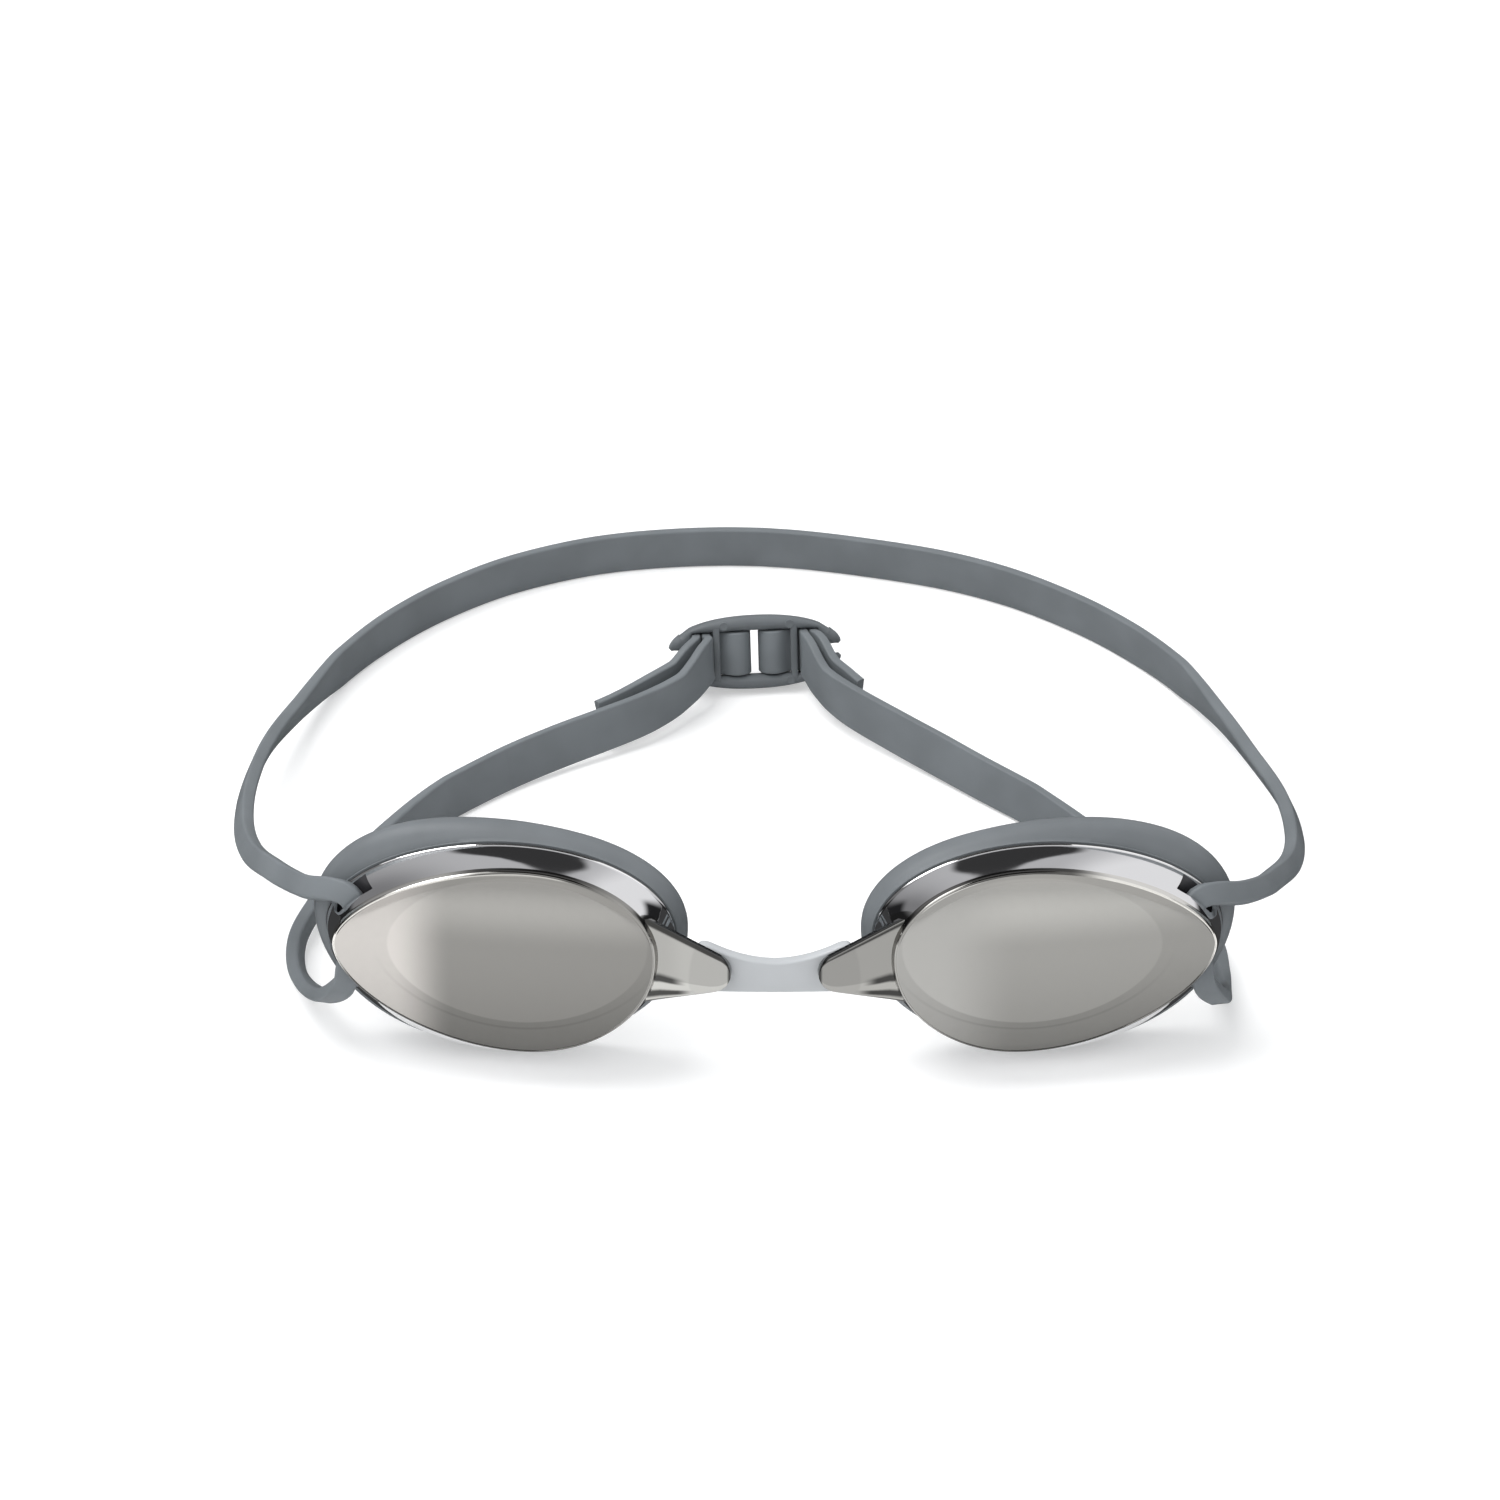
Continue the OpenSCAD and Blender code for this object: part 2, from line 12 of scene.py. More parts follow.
import bmesh
import bpy
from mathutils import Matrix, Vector

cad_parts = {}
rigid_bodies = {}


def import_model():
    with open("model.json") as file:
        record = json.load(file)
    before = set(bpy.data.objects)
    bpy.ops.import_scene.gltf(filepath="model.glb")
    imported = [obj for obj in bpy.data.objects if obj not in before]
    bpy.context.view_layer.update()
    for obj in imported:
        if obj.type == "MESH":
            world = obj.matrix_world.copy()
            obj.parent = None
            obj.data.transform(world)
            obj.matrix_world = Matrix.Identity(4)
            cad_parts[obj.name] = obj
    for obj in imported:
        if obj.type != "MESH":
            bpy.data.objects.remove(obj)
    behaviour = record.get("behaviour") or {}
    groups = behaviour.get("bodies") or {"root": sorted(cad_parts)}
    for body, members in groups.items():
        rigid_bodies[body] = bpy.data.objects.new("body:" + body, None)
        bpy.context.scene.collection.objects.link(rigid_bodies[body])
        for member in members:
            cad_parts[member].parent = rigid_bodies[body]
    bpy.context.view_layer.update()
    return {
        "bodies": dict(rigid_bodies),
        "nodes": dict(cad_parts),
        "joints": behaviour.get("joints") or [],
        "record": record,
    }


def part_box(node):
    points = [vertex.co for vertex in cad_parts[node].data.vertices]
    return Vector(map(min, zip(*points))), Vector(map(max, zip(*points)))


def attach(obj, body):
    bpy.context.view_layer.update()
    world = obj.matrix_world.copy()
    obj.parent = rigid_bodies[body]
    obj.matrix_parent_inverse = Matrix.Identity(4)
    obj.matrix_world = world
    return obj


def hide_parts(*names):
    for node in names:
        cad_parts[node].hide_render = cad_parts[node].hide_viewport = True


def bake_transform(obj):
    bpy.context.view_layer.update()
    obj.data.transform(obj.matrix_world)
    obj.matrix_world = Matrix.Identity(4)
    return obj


MM = 0.001
SECTION_TURN = math.pi / 24
ZONE = "zone"
LOG = logging.getLogger("swim_goggles")
Point2 = tuple[float, float]
Point3 = tuple[float, float, float]
Rgba = tuple[float, float, float, float]


# ---------------------------------------------------------------- sizes


@dataclass(frozen=True)
class LensSizes:
    """Shape of one eyecup, in millimetres and degrees."""

    width: float = 58.4
    rise: float = 14.2
    drop: float = 21.5
    gap: float = 41.4
    wrap: float = 6.0
    droop: float = 2.2
    cup_depth: float = 9.5
    flare: float = 2.4
    plate: float = 2.2
    flange: float = 2.5
    chamber_end: float = 10.6
    rim: float = 1.4
    middle: Point2 = (26.0, -3.0)


@dataclass(frozen=True)
class ArmSizes:
    """Nose arm and the hinge inside it, in millimetres."""

    gap: float = 14.8
    thickness: float = 2.2
    end_radius: float = 3.6
    height: float = -5.9
    pin_x: float = 11.5
    pin_height: float = -6.6
    pin_behind: float = 2.0
    upper_slope: float = 27
    lower_slope: float = 12
    upper_root: Point2 = (3.0, 4.8)
    lower_root: Point2 = (4.4, -12.8)
    reach: float = 3.6
    facet_length: float = 9
    facet_depth: float = 0.75
    ridge_at: float = 0.18
    ridge_rise: float = 0.17
    corner: float = 0.5


@dataclass(frozen=True)
class SlotSizes:
    """Strap slot at the outer end of an eyecup, in millimetres and degrees."""

    inset: float = 3.4
    depth: float = 4.9
    width: float = 4.8
    thickness: float = 3.2
    lean: float = 14.0
    mouth_start: float = 1.0
    mouth_length: float = 9.0
    mouth_out: float = 5.0
    mouth_back: float = 1.8


@dataclass(frozen=True)
class SealSizes:
    """Soft seal, in millimetres."""

    depth: float = 7.2
    flare: float = 1.8
    foot: float = 0.1


@dataclass(frozen=True)
class StrapSizes:
    """Cross-section of the strap and its route, in millimetres."""

    band_width: float = 8.8
    band_thickness: float = 1.8
    cord_width: float = 4.2
    cord_thickness: float = 2.6
    roundness: float = 0.24
    bar_clearance: float = 0.15
    route_depth: float = 174.92


@dataclass(frozen=True)
class BuckleSizes:
    """Buckle, in millimetres and degrees."""

    length: float = 34.8
    window: float = 9.2
    lobe: float = 2.9
    thickness: float = 3.6
    bar_gap: float = 7.2
    bar: float = 1.9
    bar_behind: float = 0.8
    outer_bar: float = 1.4
    outer_x: float = 7.8
    window_end: float = 13.0
    window_taper: float = 1.7
    tip_gap: float = 1.7
    lean: float = 20.0
    yaw: float = 5.0
    bulge: float = 2.15
    end_inset: float = 0.35
    thinning: float = 0.35
    bar_reach: float = 0.8


LENS = LensSizes()
ARM = ArmSizes()
SLOT = SlotSizes()
SEAL = SealSizes()
STRAP = StrapSizes()
BUCKLE = BuckleSizes()


class Side(Enum):
    """The two sides, as the sign of X."""

    LEFT = -1
    RIGHT = 1

    @property
    def label(self) -> str:
        """Lower-case name used in node and piece names."""
        return self.name.lower()


class Skin(IntEnum):
    """The surfaces of an eyecup, as the index of their material."""

    FACE = 0
    RIM = 1
    WALL = 2
    SHOULDER = 3
    INSIDE = 4


# ---------------------------------------------------------------- plane curves


def bezier(points: Sequence[Vector], t: float) -> Vector:
    """Point of a cubic curve.

    Args:
        points: Four control points.
        t: Position along the curve, 0 to 1.

    Returns:
        The point.
    """
    u = 1 - t
    return (points[0] * u**3 + points[1] * (3 * u * u * t) + points[2] * (3 * u * t * t)
            + points[3] * t**3)


@dataclass(frozen=True)
class Outline:
    """Closed outline through its inner, top, outer and bottom points."""

    inner: Point2
    top: Point2
    outer: Point2
    bottom: Point2
    tip: float
    pull: float = 0.55
    low_pull: float = 0.5
    per_arc: int = 36

    def _arc(self, start: Point2, end: Point2, upright: bool, k: float, j: float) -> list[Vector]:
        """One quarter of the outline.

        Args:
            start: Its first point.
            end: The first point of the next quarter.
            upright: Whether it leaves upright and arrives level, or the other way round.
            k: Pull of the first handle, as a share of the way.
            j: Pull of the last handle.

        Returns:
            The points, without the end.
        """
        a, b = Vector(start), Vector(end)
        d = b - a
        first = Vector((0, k * d.y)) if upright else Vector((k * d.x, 0))
        last = Vector((j * d.x, 0)) if upright else Vector((0, j * d.y))
        controls = (a, a + first, b - last, b)
        return [bezier(controls, i / self.per_arc) for i in range(self.per_arc)]

    def points(self) -> list[Vector]:
        """Points of the outline, clockwise from the inner one."""
        return (self._arc(self.inner, self.top, True, self.pull, self.pull)
                + self._arc(self.top, self.outer, False, self.pull, self.tip)
                + self._arc(self.outer, self.bottom, True, self.tip, self.low_pull)
                + self._arc(self.bottom, self.inner, False, self.pull, self.pull))


def grown(path: Sequence[Vector], distance: float) -> list[Vector]:
    """Moves every point of a closed path outwards.

    Args:
        path: Points of the path.
        distance: How far, negative for inwards.

    Returns:
        The moved points.
    """
    made = []
    for i, p in enumerate(path):
        t = (path[(i + 1) % len(path)] - path[i - 1]).normalized()
        made.append(p + Vector((-t.y, t.x)) * distance)
    return made


def between(a: Sequence[Vector], b: Sequence[Vector], t: float) -> list[Vector]:
    """Path a share t of the way from one path to another of as many points."""
    return [p.lerp(q, t) for p, q in zip(a, b)]


def turned(x: float, y: float, degrees: float) -> Point2:
    """Turns a plane point about the origin."""
    c, s = math.cos(math.radians(degrees)), math.sin(math.radians(degrees))
    return x * c - y * s, x * s + y * c


def catmull(values: Sequence[Any], t: float) -> Any:
    """Smooth curve through four values.

    Args:
        values: Numbers or vectors.
        t: Position between the middle two, 0 to 1.

    Returns:
        The value there.
    """
    a, b, c, d = values
    return (b * 2 + (c - a) * t + (a * 2 - b * 5 + c * 4 - d) * (t * t)
            + (b * 3 - a - c * 3 + d) * (t * t * t)) * 0.5


# ---------------------------------------------------------------- places


@dataclass
class Places:
    """Turns local millimetres into row millimetres, from what the frame says."""

    tilt: float
    pin: Vector
    ground_back: float
    buckle_middle: Vector

    @classmethod
    def from_frame(cls, frame: dict[str, Any]) -> "Places":
        """Reads the hinge of the right eyecup and the boxes of strap and buckle.


        Returns:
            The places.
        """
        joints = {j["name"]: j for j in frame["record"]["behaviour"]["joints"]}
        hinge = joints["right_swing"]
        axis = Vector(hinge["axis"])
        low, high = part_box("buckle")
        return cls(math.degrees(math.atan2(axis.y, axis.z)), Vector(hinge["pos_m"]) / MM,
                   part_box("strap")[1].y / MM, (low + high) / 2 / MM)

    def front(self, x: float, y: float, z: float) -> Vector:
        """Point of the front frame, which stands between the nose arms.

        Args:
            x: To the right.
            y: Backwards.
            z: Up the lens.

        Returns:
            The point in row millimetres.
        """
        behind = LENS.rim + ARM.thickness + ARM.pin_behind
        t = turned(y - behind, z - ARM.pin_height, -self.tilt)
        return Vector((x, self.pin.y + t[0], self.pin.z + t[1]))

    def cup(self, x: float, y: float, z: float, side: Side) -> Vector:
        """Point of an eyecup's own frame.

        Args:
            x: Outwards from the middle of the goggles.
            y: Backwards.
            z: Up.
            side: Side of the eyecup.

        Returns:
            The point in row millimetres.
        """
        behind = LENS.rim + ARM.thickness + ARM.pin_behind
        w = turned(x - ARM.pin_x, y - behind, LENS.wrap)
        p = self.front(ARM.pin_x + w[0], behind + w[1], z)
        return Vector((p.x * side.value, p.y, p.z))

    def lens(self, x: float, y: float, z: float, side: Side) -> Vector:
        """Point of the drooped lens plane: out from the nose end, back from the face, up."""
        d = turned(x, z, -LENS.droop)
        return self.cup(LENS.gap / 2 + d[0], y, d[1], side)

    def slot(self, out: float, back: float, up: float, side: Side) -> Vector:
        """Point of the strap slot's own frame."""
        q = turned(out, up, SLOT.lean)
        return self.lens(LENS.width - SLOT.inset + q[0], SLOT.depth + back, q[1], side)

    def ground(self, x: float, y: float, z: float) -> Vector:
        """Point given on the ground in front of the furthest part of the strap."""
        return Vector((x, self.ground_back - STRAP.route_depth + y, z))

    def buckle(self, x: float, y: float, z: float) -> Vector:
        """Point of the buckle's own frame.

        Args:
            x: Along the buckle.
            y: Backwards.
            z: Up.

        Returns:
            The point in row millimetres.
        """
        t = turned(y, z, -BUCKLE.lean)
        s = turned(x, t[0], BUCKLE.yaw)
        return self.buckle_middle + Vector((s[0], s[1], t[1]))


# ---------------------------------------------------------------- node graphs


class Socket:
    """An output socket that takes arithmetic with numbers and other sockets."""

    def __init__(self, graph: "Graph", socket: bpy.types.NodeSocket) -> None:
        """Keeps the socket and the graph it belongs to."""
        self.graph = graph
        self.socket = socket

    def _math(self, operation: str, *values: Any) -> "Socket":
        """Result of a Math node on some values."""
        made = self.graph.add("ShaderNodeMath", {"operation": operation}, dict(enumerate(values)))
        return made[0]

    def __add__(self, other: Any) -> "Socket":
        """This value plus another."""
        return self._math("ADD", self, other)

    def __radd__(self, other: Any) -> "Socket":
        """Another value plus this."""
        return self._math("ADD", other, self)

    def __sub__(self, other: Any) -> "Socket":
        """This value less another."""
        return self._math("SUBTRACT", self, other)

    def __rsub__(self, other: Any) -> "Socket":
        """Another value less this."""
        return self._math("SUBTRACT", other, self)

    def __mul__(self, other: Any) -> "Socket":
        """This value times another."""
        return self._math("MULTIPLY", self, other)

    def __rmul__(self, other: Any) -> "Socket":
        """Another value times this."""
        return self._math("MULTIPLY", other, self)

    def __truediv__(self, other: Any) -> "Socket":
        """This value divided by another."""
        return self._math("DIVIDE", self, other)

    def step(self, low: float, high: float) -> "Socket":
        """0 below low, 1 above high, smooth between."""
        made = self.graph.add("ShaderNodeMapRange", {"interpolation_type": "SMOOTHSTEP"},
                              {0: self, 1: low, 2: high, 3: 0.0, 4: 1.0})
        return made[0]

    def sign(self) -> "Socket":
        """Sign of the value."""
        return self._math("SIGN", self)

    def __abs__(self) -> "Socket":
        """Size of the value without its sign."""
        return self._math("ABSOLUTE", self)

    def root(self) -> "Socket":
        """Square root of the value."""
        return self._math("SQRT", self)

    def larger(self, other: Any) -> "Socket":
        """The larger of this value and another."""
        return self._math("MAXIMUM", self, other)

    def mix(self, first: Any, second: Any) -> "Socket":
        """Colour between two others, with this value as the share of the second."""
        return self.graph.add("ShaderNodeMix", {"data_type": "RGBA"},
                              {0: self, 6: first, 7: second})[2]

    def vector(self, operation: str, *others: Any, result: int = 0, **named: Any) -> "Socket":
        """Vector arithmetic with this value first.

        Args:
            operation: Operation of the Vector Math node.
            others: Its other vectors.
            result: Index of the output that is wanted.
            named: Values of inputs by name.

        Returns:
            The result.
        """
        values: dict[Any, Any] = dict(enumerate((self, *others)))
        values.update(named)
        return self.graph.add("ShaderNodeVectorMath", {"operation": operation}, values)[result]


class Graph:
    """Builds nodes in one tree through a single method."""

    def __init__(self, tree: bpy.types.NodeTree) -> None:
        """Keeps the tree that the nodes go into."""
        self.tree = tree

    def add(self, kind: str, settings: dict[str, Any] | None = None,
            values: dict[Any, Any] | None = None) -> list[Socket]:
        """Adds a node.

        Args:
            kind: Node type.
            settings: Properties set before the sockets.
            values: Socket name or index to a value or another Socket.

        Returns:
            The node's outputs.
        """
        node = self.tree.nodes.new(kind)
        for name, value in (settings or {}).items():
            setattr(node, name, value)
        for key, value in (values or {}).items():
            target = node.inputs[key]
            if isinstance(value, Socket):
                self.tree.links.new(value.socket, target)
            else:
                target.default_value = value
        return [Socket(self, o) for o in node.outputs]

    def named(self, name: str, kind: str = "FLOAT") -> Socket:
        """A named attribute of the geometry."""
        return self.add("GeometryNodeInputNamedAttribute", {"data_type": kind}, {"Name": name})[0]

    def spot(self) -> Socket:
        """Place on the object."""
        return self.add("ShaderNodeTexCoord")[3]

    def axes(self) -> list[Socket]:
        """Place on the object, as one value for each axis."""
        return self.add("ShaderNodeSeparateXYZ", None, {0: self.spot()})

    def noise(self, spot: Socket, scale: float, detail: float) -> Socket:
        """Noise over a place, with a scale and a number of octaves."""
        return self.add("ShaderNodeTexNoise", None,
                        {"Vector": spot, "Scale": scale, "Detail": detail})[0]

    def bump(self, strength: float, distance: float, height: Socket) -> Socket:
        """Normal of a surface with a fine relief."""
        return self.add("ShaderNodeBump", None,
                        {"Strength": strength, "Distance": distance, "Height": height})[0]

    def zone(self) -> Socket:
        """The value that the mesh keeps for each point."""
        return self.add("ShaderNodeAttribute", {"attribute_name": ZONE})[2]

    def background_rays(self) -> Socket:
        """1 for rays of the camera, of reflections and through clear pieces."""
        rays = self.add("ShaderNodeLightPath")
        return rays[0].larger(rays[3]).larger(rays[6])


class SweepTree:
    """Geometry nodes that carry a rounded section along a path.

    The path's points hold two directions, the half sizes of the flats and a corner radius.
    """

    NAME = "section_along_path"
    INPUTS = (("Path", "Geometry"), ("Spacing", "Float"), ("Section Points", "Int"),
              ("Material", "Material"))
    SMOOTHNESS = 8

    def __init__(self) -> None:
        """Builds the tree."""
        tree = bpy.data.node_groups.new(self.NAME, "GeometryNodeTree")
        self.tree = tree
        for name, kind in self.INPUTS:
            tree.interface.new_socket(name, in_out="INPUT", socket_type="NodeSocket" + kind)
        tree.interface.new_socket("Piece", in_out="OUTPUT", socket_type="NodeSocketGeometry")
        g = Graph(tree)
        path, spacing, count, material = g.add("NodeGroupInput")[:4]
        curve = g.add("GeometryNodeMeshToCurve", None, {0: path})[0]
        curve = g.add("GeometryNodeCurveSplineType", {"spline_type": "CATMULL_ROM"}, {0: curve})[0]
        curve = g.add("GeometryNodeSetSplineResolution", None,
                      {0: curve, "Resolution": self.SMOOTHNESS})[0]
        curve = g.add("GeometryNodeResampleCurve", {"mode": "LENGTH"},
                      {"Curve": curve, "Length": spacing})[0]
        place = g.add("GeometryNodeInputPosition")[0]
        tangent = g.add("GeometryNodeInputTangent")[0]
        curve = self._store(g, curve, "centre", place)
        curve = self._store(g, curve, "along", tangent)
        ring = g.add("GeometryNodeCurvePrimitiveCircle", {"mode": "RADIUS"},
                     {"Resolution": count, "Radius": 1.0})[0]
        ring = g.add("GeometryNodeTransform", None,
                     {"Geometry": ring, "Rotation": (0, 0, SECTION_TURN)})[0]
        ring = self._store(g, ring, "section", place)
        mesh = g.add("GeometryNodeCurveToMesh", None,
                     {"Curve": curve, "Profile Curve": ring, "Fill Caps": True})[0]
        along = g.named("along", "FLOAT_VECTOR")
        first = self._square(g.named("hint_a", "FLOAT_VECTOR"), along)
        second = self._square(self._upright(g.named("hint_b", "FLOAT_VECTOR"), along), first)
        cut = g.add("ShaderNodeSeparateXYZ", None, {0: g.named("section", "FLOAT_VECTOR")})
        corner = g.named("corner")
        a = cut[0].sign() * g.named("flat_a") + cut[0] * corner
        b = cut[1].sign() * g.named("flat_b") + cut[1] * corner
        spot = g.named("centre", "FLOAT_VECTOR").vector("ADD", first.vector("SCALE", Scale=a))
        spot = spot.vector("ADD", second.vector("SCALE", Scale=b))
        mesh = g.add("GeometryNodeSetPosition", None, {"Geometry": mesh, "Position": spot})[0]
        mesh = g.add("GeometryNodeRealizeInstances", None, {0: mesh})[0]
        mesh = g.add("GeometryNodeSetMaterial", None, {"Geometry": mesh, "Material": material})[0]
        g.add("NodeGroupOutput", None, {0: mesh})

    @staticmethod
    def _store(g: Graph, geometry: Socket, name: str, value: Socket) -> Socket:
        """Geometry that keeps a vector under a name."""
        return g.add("GeometryNodeStoreNamedAttribute", {"data_type": "FLOAT_VECTOR"},
                     {"Geometry": geometry, "Name": name, "Value": value})[0]

    @staticmethod
    def _upright(hint: Socket, along: Socket) -> Socket:
        """The part of a direction that is square to another."""
        share = hint.vector("DOT_PRODUCT", along, result=1)
        return hint.vector("SUBTRACT", along.vector("SCALE", Scale=share))

    @classmethod
    def _square(cls, hint: Socket, along: Socket) -> Socket:
        """Unit direction square to another, nearest to a hint."""
        return cls._upright(hint, along).vector("NORMALIZE")


@dataclass
class Station:
    """One point of a swept path, in row millimetres."""

    place: Vector
    wide: Vector
    thick: Vector
    half_wide: float
    half_thick: float
    corner: float


# ---------------------------------------------------------------- meshes


class Maker:
    """Turns points, rings and paths into named mesh objects in metres."""

    MERGE = 1e-7

    def __init__(self) -> None:
        """Builds the sweep nodes once for every piece."""
        self.sweep_tree = SweepTree().tree

    @staticmethod
    def link(name: str, mesh: bpy.types.Mesh) -> bpy.types.Object:
        """Adds an object to the scene.

        Args:
            name: Its name.
            mesh: The mesh that it shows.

        Returns:
            The object.
        """
        made = bpy.data.objects.new(name, mesh)
        bpy.context.scene.collection.objects.link(made)
        return made

    @staticmethod
    def tidy(mesh: bpy.types.Mesh, sharp: float) -> None:
        """Merges doubled points of a mesh, turns its faces outwards and smooths them.

        Args:
            mesh: The mesh.
            sharp: Angle in degrees above which an edge stays sharp.
        """
        bm = bmesh.new()
        bm.from_mesh(mesh)
        bmesh.ops.remove_doubles(bm, verts=bm.verts, dist=Maker.MERGE)
        bmesh.ops.recalc_face_normals(bm, faces=bm.faces)
        bm.to_mesh(mesh)
        bm.free()
        Maker.smooth(mesh, sharp)

    @staticmethod
    def smooth(mesh: bpy.types.Mesh, sharp: float) -> None:
        """Smooths a mesh but for edges above an angle in degrees."""
        mesh.shade_smooth()
        mesh.set_sharp_from_angle(angle=math.radians(sharp))

    @staticmethod
    def evaluated(piece: bpy.types.Object) -> bpy.types.Mesh:
        """Plain mesh of an object with its modifiers."""
        graph = bpy.context.evaluated_depsgraph_get()
        return bpy.data.meshes.new_from_object(piece.evaluated_get(graph), depsgraph=graph)

    def rings(self, name: str, rings: Sequence[Sequence[Vector]], materials: Sequence[Any],
              band: Sequence[int] | None = None, closed: bool = False, sharp: float = 40,
              zone: Sequence[Sequence[float]] | None = None) -> bpy.types.Object:
        """Skin over rings of as many points each.

        Args:
            name: Name of the piece.
            rings: Rings in row millimetres.
            materials: Materials of the piece.
            band: Material index of each band between rings.
            closed: Joins the last ring to the first; otherwise both ends are capped.
            sharp: Angle in degrees above which an edge stays sharp.
            zone: A value for each point, kept as the attribute zone.

        Returns:
            The new object.
        """
        n = len(rings[0])
        mesh = bpy.data.meshes.new(name)
        verts = [p * MM for ring in rings for p in ring]
        faces, index = [], []
        for k in range(len(rings) if closed else len(rings) - 1):
            a, b = k * n, ((k + 1) % len(rings)) * n
            for i in range(n):
                j = (i + 1) % n
                faces.append((a + i, b + i, b + j, a + j))
                index.append(band[k] if band else 0)
        if not closed:
            faces.append(tuple(range(n)))
            faces.append(tuple(range(len(verts) - 1, len(verts) - n - 1, -1)))
            index += [band[0] if band else 0, band[-1] if band else 0]
        mesh.from_pydata(verts, [], faces)
        for m in materials:
            mesh.materials.append(m)
        mesh.polygons.foreach_set("material_index", index)
        if zone:
            mesh.attributes.new(ZONE, "FLOAT", "POINT").data.foreach_set(
                "value", [v for row in zone for v in row])
        self.tidy(mesh, sharp)
        return self.link(name, mesh)

    def sweep(self, name: str, stations: Sequence[Station], material: bpy.types.Material,
              spacing: float, points: int = 24, sharp: float = 50) -> bpy.types.Object:
        """Carries a rounded section along a path with the sweep nodes.

        Args:
            name: Name of the piece.
            stations: The path.
            material: Its material.
            spacing: Distance between sections in millimetres.
            points: Points round the section.
            sharp: Angle in degrees above which an edge stays sharp.

        Returns:
            The new object, a plain mesh.
        """
        mesh = bpy.data.meshes.new(name + "_path")
        edges = [(i, i + 1) for i in range(len(stations) - 1)]
        mesh.from_pydata([s.place * MM for s in stations], edges, [])
        for label, read in (("hint_a", lambda s: s.wide), ("hint_b", lambda s: s.thick)):
            flat = [c for s in stations for c in read(s)]
            mesh.attributes.new(label, "FLOAT_VECTOR", "POINT").data.foreach_set("vector", flat)
        for label, read in (("flat_a", lambda s: s.half_wide - s.corner),
                            ("flat_b", lambda s: s.half_thick - s.corner),
                            ("corner", lambda s: s.corner)):
            flat = [read(s) * MM for s in stations]
            mesh.attributes.new(label, "FLOAT", "POINT").data.foreach_set("value", flat)
        path = self.link(name + "_path", mesh)
        nodes = path.modifiers.new("sweep", "NODES")
        nodes.node_group = self.sweep_tree
        given = {"Spacing": spacing * MM, "Section Points": points, "Material": material}
        for item in self.sweep_tree.interface.items_tree:
            if item.item_type == "SOCKET" and item.in_out == "INPUT" and item.name in given:
                nodes[item.identifier] = given[item.name]
        path.update_tag()
        made = self.evaluated(path)
        made.name = name
        bpy.data.objects.remove(path)
        self.tidy(made, sharp)
        return self.link(name, made)

    @staticmethod
    def cut(piece: bpy.types.Object, cutter: bpy.types.Object) -> None:
        """Takes one mesh out of another.

        Args:
            piece: What is cut.
            cutter: What is taken out, and then removed.
        """
        modifier = piece.modifiers.new("cut", "BOOLEAN")
        modifier.operation = "DIFFERENCE"
        modifier.solver = "EXACT"
        modifier.object = cutter
        made = Maker.evaluated(piece)
        piece.modifiers.clear()
        old = piece.data
        piece.data = made
        bpy.data.meshes.remove(old)
        bpy.data.objects.remove(cutter)


# ---------------------------------------------------------------- finishes


@dataclass(frozen=True)
class Tone:
    """A colour, as linear red, green and blue."""

    red: float
    green: float
    blue: float

    def rgba(self, share: float = 1.0) -> Rgba:
        """The colour times a share, with full alpha."""
        return self.red * share, self.green * share, self.blue * share, 1.0


def grey(value: float) -> Rgba:
    """A plain grey with full alpha."""
    return value, value, value, 1.0


@dataclass(frozen=True)
class Silicone:
    """Soft satin silicone or plastic with a fine grain."""

    FINE_SCALE = 2600.0
    BROAD_SCALE = 90.0

    name: str
    tone: Tone
    roughness: float = 0.42
    grain: float = 0.12
    variation: float = 0.06
    coat: float = 0.0

    def build(self) -> bpy.types.Material:
        """Makes the material."""
        material, g, shader = new_material(self.name)
        spot = g.spot()
        fine = g.noise(spot, self.FINE_SCALE, 3.0)
        broad = g.noise(spot, self.BROAD_SCALE, 2.0)
        colour = broad.step(0.3, 0.7).mix(self.tone.rgba(1 - self.variation),
                                          self.tone.rgba(1 + self.variation))
        connect(g, shader, {"Base Color": colour, "Roughness": self.roughness + (fine - 0.5) * 0.12,
                            "Normal": g.bump(self.grain, 0.05 * MM, fine), "Coat Weight": self.coat,
                            "IOR": 1.42, "Specular IOR Level": 0.35})
        return material


@dataclass(frozen=True)
class Fade:
    """A painted sheen: a lighter tone laid over a face between two places across X, in metres."""

    tone: Tone
    start: float
    end: float


